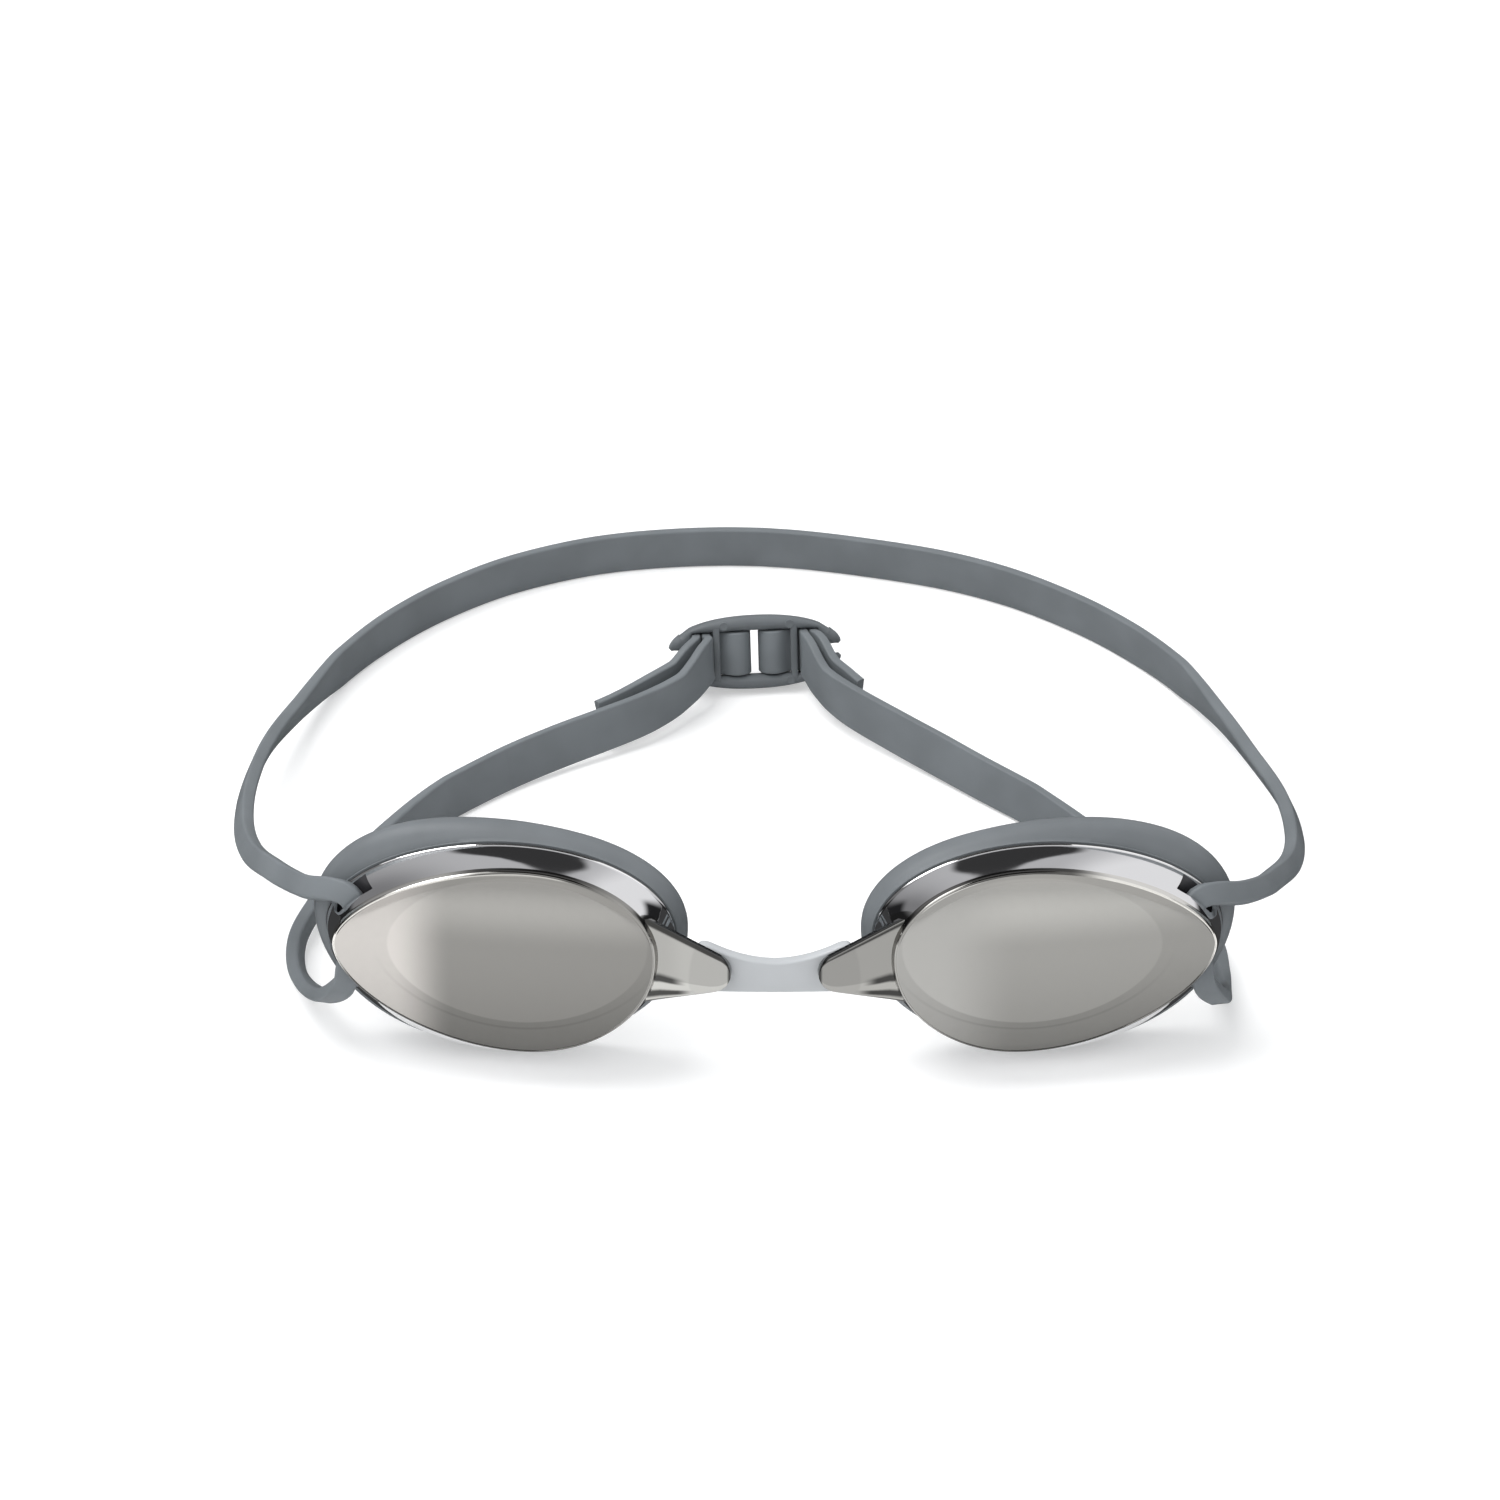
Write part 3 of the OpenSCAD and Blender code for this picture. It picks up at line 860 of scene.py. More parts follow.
@dataclass(frozen=True)
class MirrorFace:
    """Mirror-coated lens face, with painted light and shade: a painted highlight at its top,
    painted shade low down, a painted sheen across X, and painted shade from the eye space out to
    its edge.
    """

    # Colour of the painted shade outside the eye space, where the cup's dark inside shows through.
    DARK = Tone(0.02, 0.02, 0.019)

    name: str
    tone: Tone
    # Painted sheen: a lighter tone laid across X.
    fade: Fade
    # Share of the tone kept in the painted shade outside the eye space.
    edge: float = 0.66

    def build(self) -> bpy.types.Material:
        """Makes the material."""
        material, g, shader = new_material(self.name)
        spot = g.spot()
        place = g.add("ShaderNodeSeparateXYZ", None, {0: spot})
        across, up = place[0], place[2]
        fine = g.noise(spot, 700.0, 4.0)
        zone = g.zone()
        # Painted shade low down: low rises to 1 towards the bottom of the face, where the tone
        # falls from 1.16 to 0.86 of itself.
        low = 1 - up.step(0.004, 0.030)
        colour = low.mix(self.tone.rgba(1.16), self.tone.rgba(0.86))
        # Painted highlight along the top of the face.
        colour = up.step(0.029, 0.037).mix(colour, self.tone.rgba(1.7))
        # Painted sheen: the lighter tone laid between two places across X.
        colour = across.step(self.fade.start, self.fade.end).mix(colour, self.fade.tone.rgba())
        # Painted shade outside the eye space, where the cup's dark inside shows through, stronger
        # low down.
        band = zone.step(0.985, 1.01) * (0.3 + low * 0.7)
        # Two faint painted dark lines low down, standing in for the flange and seal edges seen
        # through.
        line = zone.step(1.085, 1.095) * (1 - zone.step(1.11, 1.135)) * low * 0.16
        shade = band * (1 - self.edge) + line + (fine - 0.5) * 0.05
        # Mixes the painted shade, with a little random tone, into the colour.
        seen = shade.mix(colour, self.DARK.rgba())
        connect(g, shader, {"Base Color": seen, "Metallic": 1.0,
                            "Roughness": 0.12 + (fine - 0.5) * 0.04})
        return material


@dataclass(frozen=True)
class ArmFinish:
    """Half-clear mirror of a nose arm, with painted light and shade: painted dark reflections under
    its ridge and round its edge, a painted highlight on its lower facet, a painted brightness
    factor towards its root, and a darker patch where the bridge's lug shows through.
    """

    name: str
    tone: Tone
    # Painted brightness factor towards the arm's root.
    shine: float

    def build(self) -> bpy.types.Material:
        """Makes the material."""
        material, g, shader = new_material(self.name)
        reach = abs(g.axes()[0])
        rise = g.zone()
        # Painted dark reflections: a streak just under the ridge and one lower on the facet,
        # towards the root.
        upper = (1 - abs(rise + 0.10).step(0.08, 0.20)) * reach.step(0.0155, 0.0185)
        lower = (1 - abs(rise + 0.70).step(0.06, 0.20)) * reach.step(0.0140, 0.0175)
        lug = (1 - (reach + rise * rise * 0.0012).step(0.0150, 0.0156)) * 0.12
        # Painted brightness towards the root: the tone times the painted root factor.
        colour = reach.step(0.0155, 0.0200).mix(self.tone.rgba(), self.tone.rgba(self.shine))
        # Painted highlight on the lower facet, below the ridge.
        colour = rise.step(-0.05, 0.02).mix(self.tone.rgba(1.3), colour)
        colour = lug.mix(colour, grey(0.08))
        # Painted dark reflections along the top and bottom edges and round the rounded end.
        edge = abs(rise).step(0.90, 0.95).larger(1 - reach.step(0.0081, 0.0086))
        dark = (upper.larger(lower) * 0.9).larger(edge * 0.85)
        colour = dark.mix(colour, grey(0.015))
        connect(g, shader, {"Base Color": colour, "Metallic": 1.0, "Roughness": 0.09})
        return material


@dataclass(frozen=True)
class Chrome:
    """Bright mirror coating."""

    name: str
    tone: Tone
    roughness: float = 0.05
    metallic: float = 1.0

    def build(self) -> bpy.types.Material:
        """Makes the material."""
        material, g, shader = new_material(self.name)
        wave = g.noise(g.spot(), 160.0, 2.0)
        connect(g, shader, {"Base Color": self.tone.rgba(), "Metallic": self.metallic,
                            "Roughness": self.roughness, "Normal": g.bump(0.05, 0.2 * MM, wave)})
        return material


@dataclass(frozen=True)
class RimFinish:
    """Narrow rim round a lens face: dark, with a painted glint outwards on its top and a paler
    painted reflection by the nose.
    """

    name: str
    tone: Tone

    def build(self) -> bpy.types.Material:
        """Makes the material."""
        material, g, shader = new_material(self.name)
        place = g.axes()
        out, up = abs(place[0]), place[2]
        # Painted glint on the outer top of the rim.
        painted_glint = out.step(0.052, 0.060) * up.step(0.020, 0.026)
        # Paler painted reflection on the rim by the nose.
        nose = 1 - out.step(0.026, 0.036)
        colour = nose.mix(self.tone.rgba(), self.tone.rgba(3))
        colour = painted_glint.mix(colour, self.tone.rgba(7))
        connect(g, shader, {"Base Color": colour, "Metallic": 1.0, "Roughness": 0.1})
        return material


def new_material(name: str) -> tuple[bpy.types.Material, Graph, bpy.types.Node]:
    """A material that has only its main shader and output.

    Args:
        name: Its name.

    Returns:
        The material, its graph and its main shader.
    """
    material = bpy.data.materials.new(name)
    material.use_nodes = True
    tree = material.node_tree
    shader = next(n for n in tree.nodes if n.type == "BSDF_PRINCIPLED")
    return material, Graph(tree), shader


def glow(g: Graph, shader: bpy.types.Node, colour: Any) -> None:
    """Makes a shader black but for the colour that it gives off."""
    connect(g, shader, {"Base Color": grey(0), "Specular IOR Level": 0.0,
                        "Emission Color": colour, "Emission Strength": 1.0})


def connect(g: Graph, node: bpy.types.Node, values: dict[str, Any]) -> None:
    """Sets or links sockets of a node.

    Args:
        g: Graph that the node is in.
        node: The node.
        values: Socket name to a value or a Socket.
    """
    for name, value in values.items():
        if isinstance(value, Socket):
            g.tree.links.new(value.socket, node.inputs[name])
        else:
            node.inputs[name].default_value = value


@dataclass
class Finishes:
    """Every material of the goggles."""

    seal: bpy.types.Material
    strap: bpy.types.Material
    buckle: bpy.types.Material
    bridge: bpy.types.Material
    wall: bpy.types.Material
    arms: dict[Side, bpy.types.Material]
    inside: bpy.types.Material
    rim: bpy.types.Material
    shoulder: bpy.types.Material
    faces: dict[Side, bpy.types.Material]

    @classmethod
    def build(cls) -> "Finishes":
        """Makes all the materials."""
        # The two faces are one coating in lit and shaded copies: their different tones and painted
        # sheens stand in for light falling differently on each side.
        left_face = MirrorFace("left_face", Tone(0.192, 0.188, 0.178),
                               Fade(Tone(0.54, 0.515, 0.49), -0.0575, -0.0690))
        right_face = MirrorFace("right_face", Tone(0.235, 0.231, 0.219),
                                Fade(Tone(0.35, 0.345, 0.33), 0.044, 0.028))
        return cls(
            seal=Silicone("seal_silicone", Tone(0.150, 0.163, 0.173)).build(),
            strap=Silicone("strap_silicone", Tone(0.155, 0.170, 0.181), roughness=0.48).build(),
            buckle=Silicone("buckle_plastic", Tone(0.128, 0.140, 0.149), roughness=0.42).build(),
            bridge=Silicone("bridge_plastic", Tone(0.47, 0.485, 0.50), roughness=0.34,
                            grain=0.04, variation=0.02, coat=0.15).build(),
            wall=Chrome("wall_chrome", Tone(0.90, 0.90, 0.91)).build(),
            # The two arms are one coating in lit and shaded copies: their tones and painted
            # brightness factors at the root stand in for light on each side.
            arms={Side.LEFT: ArmFinish("left_arm", Tone(0.37, 0.365, 0.348), 0.9).build(),
                  Side.RIGHT: ArmFinish("right_arm", Tone(0.265, 0.261, 0.248), 1.0).build()},
            inside=Chrome("cup_inside", Tone(0.05, 0.05, 0.055), roughness=0.25,
                          metallic=0.4).build(),
            rim=RimFinish("rim_mirror", Tone(0.115, 0.113, 0.108)).build(),
            shoulder=Chrome("shoulder_chrome", Tone(0.20, 0.197, 0.194), roughness=0.16).build(),
            faces={Side.LEFT: left_face.build(), Side.RIGHT: right_face.build()},
        )


# ---------------------------------------------------------------- pieces


@dataclass
class Workshop:
    """What every piece is made with."""

    places: Places
    maker: Maker
    finishes: Finishes


@dataclass
class Eyecup:
    """One eyecup: mirrored lens, chrome wall, nose arm, strap slot and soft seal.

    Each profile holds how far a ring stands outside its outline and how far behind its plane.
    """

    FACE_RINGS = 19
    WALL_RINGS = 14
    CROWN = 1.02
    CROWN_POWER = 2.4
    BULGE = 0.11
    EYE_SHARES = (0.75, 0.5, 0.25, 0.04)
    EYE_CROWN = 0.7
    LIP_SWELLS = ((2.8, 1.5, 0.8), (0.7, 2.3, 0.65))
    SEEN_MIDDLE = Vector((24.5, -3.5))
    BEVEL = ((-0.75, 0.0), (-0.6, 0.02))
    RIM = ((-0.54, 0.1), (-0.44, 0.11), (-0.38, 0.04), (-0.26, 0.08), (-0.12, 0.22),
           (-0.02, 0.5), (0.0, 0.8))
    SHOULDER = ((0.1, -0.5), (0.16, -0.35), (0.12, -0.15), (-0.05, -0.02), (-0.35, 0.0),
                (-0.8, 0.0))
    FLANGE = ((-0.8, -0.3), (-0.95, -0.05), (-1.2, 0.0), (-1.9, 0.0))
    EYE_END = ((0.0, 1.0), (-0.3, 0.25), (-0.9, 0.0))

    shop: Workshop
    side: Side
    face: list[Vector] = field(init=False)
    back: list[Vector] = field(init=False)
    eye: list[Vector] = field(init=False)
    seen: list[Vector] = field(init=False)

    def __post_init__(self) -> None:
        """Draws the outlines of lens face, cup back, eye space and eye space as seen."""
        z = LENS
        self.face = Outline((0, -2.4), (25.4, z.rise), (z.width, -0.4), (23.2, -z.drop),
                            0.41).points()
        self.back = Outline((-z.flare, -2), (29, z.rise + z.flare - 1.2),
                            (z.width + z.flare, -0.5), (30, -z.drop - z.flare - 0.8), 0.55).points()
        self.eye = Outline((2.2, -1), (26, z.rise - 2.2), (z.width - z.chamber_end, -1),
                           (25, -z.drop + 5.4), 0.55).points()
        self.seen = Outline((1.3, 0), (25, z.rise - 1.2), (z.width - z.chamber_end + 0.4, 0),
                            (24, -z.drop + 6.4), 0.5).points()

    def _place(self, path: Iterable[Vector], depth: float) -> list[Vector]:
        """Points of a path in the lens plane, at a depth behind it."""
        return [self.shop.places.lens(p.x, depth, p.y, self.side) for p in path]

    def _zone(self, path: Iterable[Vector]) -> list[float]:
        """How far the points of a path lie out.

        Args:
            path: The points.

        Returns:
            For each point its distance as a share of that of the eye space's seen edge.
        """
        middle = self.SEEN_MIDDLE
        edge = [(math.atan2(p.y - middle.y, p.x - middle.x), (p - middle).length)
                for p in self.seen]
        edge.sort()
        made = []
        for p in path:
            d = p - middle
            a = math.atan2(d.y, d.x)
            k = next((i for i, e in enumerate(edge) if e[0] > a), 0)
            (a0, r0), (a1, r1) = edge[k - 1], edge[k]
            span = (a1 - a0) % (2 * math.pi) or 1.0
            made.append(d.length / (r0 + (r1 - r0) * ((a - a0) % (2 * math.pi)) / span))
        return made

    def build(self) -> list[bpy.types.Object]:
        """Makes the lens, its arm and the seal.

        Returns:
            The pieces, each riding with this eyecup.
        """
        return [self._shell(), self._arm(), self._seal()]

    def _finish(self, piece: bpy.types.Object) -> bpy.types.Object:
        """Lets a piece ride with the eyecup.

        Args:
            piece: The piece.

        Returns:
            The piece.
        """
        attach(piece, self.side.label + "_eyecup")
        return piece

    def _rows(self) -> list[tuple[list[Vector], float, Skin]]:
        """Rings of the shell, from the middle of the face round to the end of the eye space.

        Returns:
            For each ring its outline, its depth and the surface that follows it.
        """
        middle = Vector(LENS.middle)
        back, rim_end = LENS.cup_depth, self.RIM[-1][1]
        rows: list[tuple[list[Vector], float, Skin]] = []
        for i in range(1, self.FACE_RINGS):
            s = i / self.FACE_RINGS
            rows.append(([middle + (p - middle) * s for p in self.face],
                         -1 + self.CROWN * s**self.CROWN_POWER, Skin.FACE))
        rows += [(grown(self.face, g), y, Skin.FACE) for g, y in self.BEVEL]
        rows += [(grown(self.face, g), y, Skin.RIM) for g, y in self.RIM]
        for i in range(1, self.WALL_RINGS + 1):
            s = i / self.WALL_RINGS
            t = s + self.BULGE * math.sin(math.pi * s)
            rows.append((between(self.face, self.back, t), rim_end + (back - 1.4) * s, Skin.WALL))
        rows += [(grown(self.back, g), back + y, Skin.SHOULDER) for g, y in self.SHOULDER]
        rows += [(grown(self.back, g), back + LENS.flange + y, Skin.INSIDE) for g, y in self.FLANGE]
        rows += [(between(self.eye, grown(self.back, -2.4), 0.9), back + LENS.flange * 0.6,
                  Skin.INSIDE),
                 (between(self.eye, self.back, 0.1), back - 1, Skin.INSIDE)]
        rows += [(grown(self.eye, g), LENS.plate + y, Skin.INSIDE) for g, y in self.EYE_END]
        for s in self.EYE_SHARES:
            rows.append(([middle + (p - middle) * s for p in self.eye],
                         LENS.plate - self.EYE_CROWN + self.EYE_CROWN * s, Skin.INSIDE))
        return rows

    def _shell(self) -> bpy.types.Object:
        """Makes the hard shell with the slot cut through it."""
        f = self.shop.finishes
        rows = self._rows()
        mesh = self.shop.maker.rings(
            self.side.label + "_lens_mirror", [self._place(path, y) for path, y, _ in rows],
            [f.faces[self.side], f.rim, f.wall, f.shoulder, f.inside],
            band=[int(skin) for _, _, skin in rows], sharp=50,
            zone=[self._zone(path) for path, _, _ in rows])
        self.shop.maker.cut(mesh, self._slot_space())
        self.shop.maker.tidy(mesh.data, 50)
        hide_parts(self.side.label + "_lens")
        return self._finish(mesh)

    def _slot_space(self) -> bpy.types.Object:
        """Makes the room of the strap: a leaning slot that widens outwards at its upper mouth."""
        s = SLOT
        half_w, half_t = s.width / 2, s.thickness / 2
        low = -(LENS.rise + LENS.drop) / 2
        rings = []
        for up in (low, s.mouth_start,
                   *(s.mouth_start + s.mouth_length * k / 6 for k in range(1, 7))):
            share = max(up - s.mouth_start, 0.0) / s.mouth_length
            x0, x1 = -half_w - 0.6 * share, half_w + s.mouth_out * share
            y0, y1 = -half_t - 0.2 * share, half_t + s.mouth_back * share
            r = 1.0 + 0.9 * share
            ring = []
            for cx, cy, first in ((x1 - r, y1 - r, 0), (x0 + r, y1 - r, 90), (x0 + r, y0 + r, 180),
                                  (x1 - r, y0 + r, 270)):
                for a in range(first, first + 91, 15):
                    c, q = turned(r, 0, a)
                    ring.append(self.shop.places.slot(cx + c, cy + q, up, self.side))
            rings.append(ring)
        return self.shop.maker.rings("slot_space", rings, [self.shop.finishes.inside], sharp=60)

    @staticmethod
    def _arm_edge(x: float, slope: float, root: Point2, sign: int) -> float:
        """Height of an arm's edge: the rounded end, then a straight line that leaves it.

        Args:
            x: Place outwards.
            slope: Slope of the straight line in degrees.
            root: Where the line ends, outwards from the lens's nose end and up.
            sign: 1 for the upper edge, -1 for the lower.

        Returns:
            The height.
        """
        radius, end_x = ARM.end_radius, ARM.gap / 2 + ARM.end_radius
        start = end_x - radius * math.sin(math.radians(slope))
        if x < start:
            return ARM.height + sign * math.sqrt(max(radius**2 - (x - end_x) ** 2, 0.0))
        from_z = ARM.height + sign * radius * math.cos(math.radians(slope))
        return from_z + (x - start) * (root[1] - from_z) / (LENS.gap / 2 + root[0] - start)

    def _arm_section(self, x: float) -> tuple[list[Vector], list[float]]:
        """One section of the arm.

        Args:
            x: Place outwards.

        Returns:
            Its points, and how far each is above or below the ridge, as a share.
        """
        front, back = LENS.rim, LENS.rim + ARM.thickness
        low = self._arm_edge(x, ARM.lower_slope, ARM.lower_root, -1)
        high = self._arm_edge(x, ARM.upper_slope, ARM.upper_root, 1)
        tall = high - low
        r = min(ARM.corner, tall * 0.24)
        grow = min(max((x - ARM.gap / 2 - ARM.end_radius) / ARM.facet_length, 0.0), 1.0)
        ridge = low + tall * (ARM.ridge_at + ARM.ridge_rise * grow)
        fall = ARM.facet_depth * grow
        ring = []
        for a in range(0, 91, 15):
            c, s = math.cos(math.radians(a)), math.sin(math.radians(a))
            ring.append((front + r - r * s, high - r + r * c))
        for k in range(1, 7):
            ring.append((front, (high - r) + (ridge + 0.4 - high + r) * k / 7))
        ring += [(front, ridge + 0.3), (front + fall * 0.06, ridge),
                 (front + fall * 0.2, ridge - 0.25)]
        for share in (0.25, 0.5, 0.75):
            ring.append((front + fall * (0.2 + 0.8 * share),
                         ridge - 0.25 + (low + r - ridge + 0.25) * share))
        for a in range(0, 91, 15):
            c, s = math.cos(math.radians(a)), math.sin(math.radians(a))
            ring.append((front + fall + r - r * c, low + r - r * s))
        ring += [(back - 0.3, low), (back, low + r * 0.6), (back, high - r * 0.6),
                 (back - 0.3, high)]
        return ([self.shop.places.cup(x, y, z, self.side) for y, z in ring],
                [(z - ridge) / (ridge - low if z < ridge else high - ridge) for _, z in ring])

    def _arm(self) -> bpy.types.Object:
        """Makes the nose arm: a plate with a rounded end and a facet along its lower half."""
        end_x = ARM.gap / 2 + ARM.end_radius
        reach = LENS.gap / 2 + ARM.reach
        stations = [end_x - ARM.end_radius * math.cos(math.radians(a)) for a in range(4, 90, 6)]
        stations += [end_x + (reach - end_x) * i / 16 for i in range(17)]
        rings, zones = zip(*(self._arm_section(x) for x in stations))
        piece = self.shop.maker.rings(self.side.label + "_nose_arm", rings,
                                      [self.shop.finishes.arms[self.side]], sharp=60, zone=zones)
        return self._finish(piece)

    @classmethod
    def _lip_extra(cls, quarter: float) -> float:
        """Extra reach of the lip at the temple.

        Args:
            quarter: Place round the outline, in quarters.

        Returns:
            The reach in millimetres.
        """
        made = 0.0
        for size, middle, span in cls.LIP_SWELLS:
            if abs(quarter - middle) < span:
                made += size * math.cos(math.pi / 2 * (quarter - middle) / span) ** 2
        return made

    @staticmethod
    def _lip_profile() -> list[Point2]:
        """Profile of the seal, with its lip smoothed.

        Returns:
            How far each point stands outside the cup's outline and behind the shoulder.
        """
        deep, flare, flange, foot = SEAL.depth, SEAL.flare, LENS.flange, SEAL.foot
        keys = [(0.35, 0.2), (0.55, 0.7), (flare * 0.72, deep * 0.24), (flare * 0.95, deep * 0.42),
                (flare, deep * 0.62), (flare * 0.86, deep * 0.82), (flare * 0.5, deep * 0.95),
                (-0.1, deep), (-1.0, deep * 0.98), (-2.0, deep * 0.9), (-2.7, deep * 0.74),
                (-2.95, deep * 0.58), (-2.9, flange + 0.6), (-2.8, flange + foot),
                (-0.7, flange + foot), (-0.7, 0.2)]
        last = len(keys) - 3
        made: list[Point2] = []
        for i in range(last):
            four = [Vector(keys[max(0, min(last, i + k))]) for k in (-1, 0, 1, 2)]
            made += [tuple(catmull(four, t / 3)) for t in range(3)]
        return made + keys[last:]

    def _seal(self) -> bpy.types.Object:
        """Makes the soft seal: a bulging lip behind the shoulder, deeper towards the temple."""
        rings = []
        for out, y in self._lip_profile():
            ring = []
            share = out / SEAL.flare if out > 0.45 else 0.0
            inner, outer = grown(self.back, out), grown(self.back, out + 1)
            for i, (a, b) in enumerate(zip(inner, outer)):
                p = a + (b - a) * share * self._lip_extra(4 * i / len(inner))
                reach = 1 + 0.14 * (p.x / LENS.width - 0.5) if y > LENS.flange + 1 else 1.0
                ring.append(self.shop.places.lens(p.x, LENS.cup_depth + y * reach, p.y, self.side))
            rings.append(ring)
        piece = self.shop.maker.rings(self.side.label + "_soft_seal", rings,
                                      [self.shop.finishes.seal], closed=True, sharp=50)
        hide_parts(self.side.label + "_gasket")
        return self._finish(piece)


@dataclass
class NoseBridge:
    """Flexible bridge with a concave top and rounded edges."""

    shop: Workshop
    low: float = -10.8
    height: float = 6.0
    end_top: float = -1.5
    thickness: float = 2.6
    overhang: float = 2.3
    sag_power: float = 1.9
    edge: float = 0.9
    bulge: float = 0.25
    corner: float = 0.55
    sections: int = 60

    def build(self) -> bpy.types.Object:
        """Makes the bridge.

        Returns:
            The piece, riding with the strap and bridge.
        """
        end = ARM.pin_x + self.overhang
        middle = LENS.rim + ARM.thickness + ARM.pin_behind
        origin = self.shop.places.front(0, 0, 0)
        up = self.shop.places.front(0, 0, 1) - origin
        back = self.shop.places.front(0, 1, 0) - origin
        stations = []
        for i in range(self.sections + 1):
            x = -end + 2 * end * i / self.sections
            a = abs(x)
            s = min(a / (end - 1), 1.0)
            top = (self.low + self.height
                   + (self.end_top - self.low - self.height) * s**self.sag_power)
            inset = max(a - end + self.edge, 0.0)
            shrink = self.edge - math.sqrt(max(self.edge**2 - inset**2, 0.0))
            half = (top - self.low) / 2 - shrink
            place = self.shop.places.front(x, middle - self.bulge * (1 - s), (top + self.low) / 2)
            stations.append(Station(place, up, back, half, self.thickness / 2 - shrink * 0.8,
                                    self.corner))
        piece = self.shop.maker.sweep("nose_bridge_body", stations, self.shop.finishes.bridge, 0.35)
        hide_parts("nose_bridge")
        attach(piece, "strap_and_bridge")
        return piece


Row = tuple[Vector, Vector, float]


@dataclass
class Strap:
    """One continuous strap, shown in four lengths."""

    SEAM = 4

    shop: Workshop

    def _rows(self, rows: Sequence[Sequence[float]]) -> list[Row]:
        """Rows of the route from numbers for place, direction of the width and narrowness."""
        return [(self.shop.places.ground(*r[:3]), Vector(r[3:6]), r[6]) for r in rows]

    def _threading(self, side: Side) -> list[Row]:
        """Way in between the bars, turn round the inner bar and way out.

        Args:
            side: End of the buckle.

        Returns:
            The rows of the route there.
        """
        b, k = self.shop.places, side.value
        wide = b.buckle(0, 0, 1) - b.buckle(0, 0, 0)
        wrap = BUCKLE.bar / 2 + STRAP.bar_clearance + STRAP.band_thickness / 2
        bar = BUCKLE.bar_gap / 2
        points = [(12.6, -5), (11.9, -2.2), (11.8, 0), (11.3, 1.7), (9.2, 2.75), (6.4, 2.9)]
        for a in range(90, -91, -30):
            c, s = math.cos(math.radians(a)), math.sin(math.radians(a))
            points.append((bar - wrap * c, BUCKLE.bar_behind + wrap * s))
        points += [(4.4, -1.05), (5.4, -0.3), (6.4, 0.5), (8, 0.75), (9.3, 0.5), (9.8, -0.9),
                   (9.8, -3), (10, -6)]
        return [(b.buckle(k * x, y, 0), wide, 0.0) for x, y in points]

    def _slot(self, side: Side) -> list[Row]:
        """Way through the slot of an eyecup.

        Args:
            side: Side of the eyecup.

        Returns:
            The rows of the route there.
        """
        p = self.shop.places
        wide = p.slot(1, 0, 0, side) - p.slot(0, 0, 0, side)
        return [(p.slot(0, 0, u, side), wide, 1.0) for u in (-11, -7, 0, 3.6)]

    def left_tail(self) -> list[Row]:
        """Free left end lying behind the strap."""
        return self._rows([(-33.9, 108, 5.8, 0, 0.3, 1, 0), (-29.8, 110.8, 6.2, 0, 0.3, 1, 0),
                           (-24.4, 115.2, 7, 0, 0.2, 1, 0), (-18.9, 119.9, 8, 0, 0.1, 1, 0)])

    def right_tail(self) -> list[Row]:
        """Free right end."""
        return self._rows([(17.2, 115.2, 6.8, 0, 0, 1, 0), (15, 117.8, 7.3, 0, 0, 1, 0),
                           (12, 121.2, 8.2, 0, 0, 1, 0)])

    def left_front(self) -> list[Row]:
        """Left strap from the buckle to the slot."""
        return self._rows([
            (-17.5, 116, 7.8, 0, 0, 1, 0), (-24.5, 110, 6.8, 0, 0.2, 1, 0),
            (-33.5, 105, 5.8, 0, 0.3, 1, 0), (-42, 100.2, 5.2, 0, 0.35, 1, 0),
            (-52, 93.4, 4.7, 0, 0.35, 1, 0), (-62.5, 84, 4.6, 0, 0.3, 1, 0),
            (-69, 77.5, 4.5, 0, 0.1, 1, 0.3), (-76, 68.5, 4.3, 0, 0, 1, 0.8),
            (-82.5, 58, 4.2, 0, 0, 1, 1), (-87, 46.5, 4.2, 0, 0, 1, 1),
            (-88.8, 38, 4.2, -0.2, -0.1, 1, 1), (-88.2, 30, 4, -0.4, -0.3, 1, 1),
            (-85.2, 21.4, 6.2, -0.6, -0.5, 0.7, 1), (-81.2, 12.8, 11.2, -0.8, -0.4, 0.4, 1)])

    def left_back(self) -> list[Row]:
        """Left strap from the slot to the back."""
        return self._rows([
            (-76.2, 13.7, 33, -0.9, -0.2, -0.6, 1), (-79.3, 15.2, 33.4, -0.6, -0.3, -0.8, 1),
            (-84, 18.8, 31.2, -0.5, -0.4, -0.8, 1), (-88, 25, 28.4, -0.5, -0.4, -0.8, 1),
            (-91.4, 30.4, 26.6, -0.5, -0.3, -0.8, 1), (-96.2, 41, 22.4, -0.5, -0.2, -0.9, 1),
            (-99.2, 54.5, 18.6, -0.5, -0.1, -0.9, 1), (-100.1, 72.5, 14.5, -0.45, 0, -1, 1),
            (-98.5, 93, 10.2, -0.4, 0, -1, 1), (-94, 111, 6.6, -0.2, 0, -1, 0.8),
            (-87.5, 127.5, 4.7, 0, 0, -1, 0.15), (-78.5, 141.5, 4.5, 0, 0, -1, 0),
            (-66.5, 154, 4.5, 0, 0, -1, 0), (-51, 164.6, 4.5, 0, 0, -1, 0),
            (-30, 172, 4.5, 0, 0, -1, 0)])

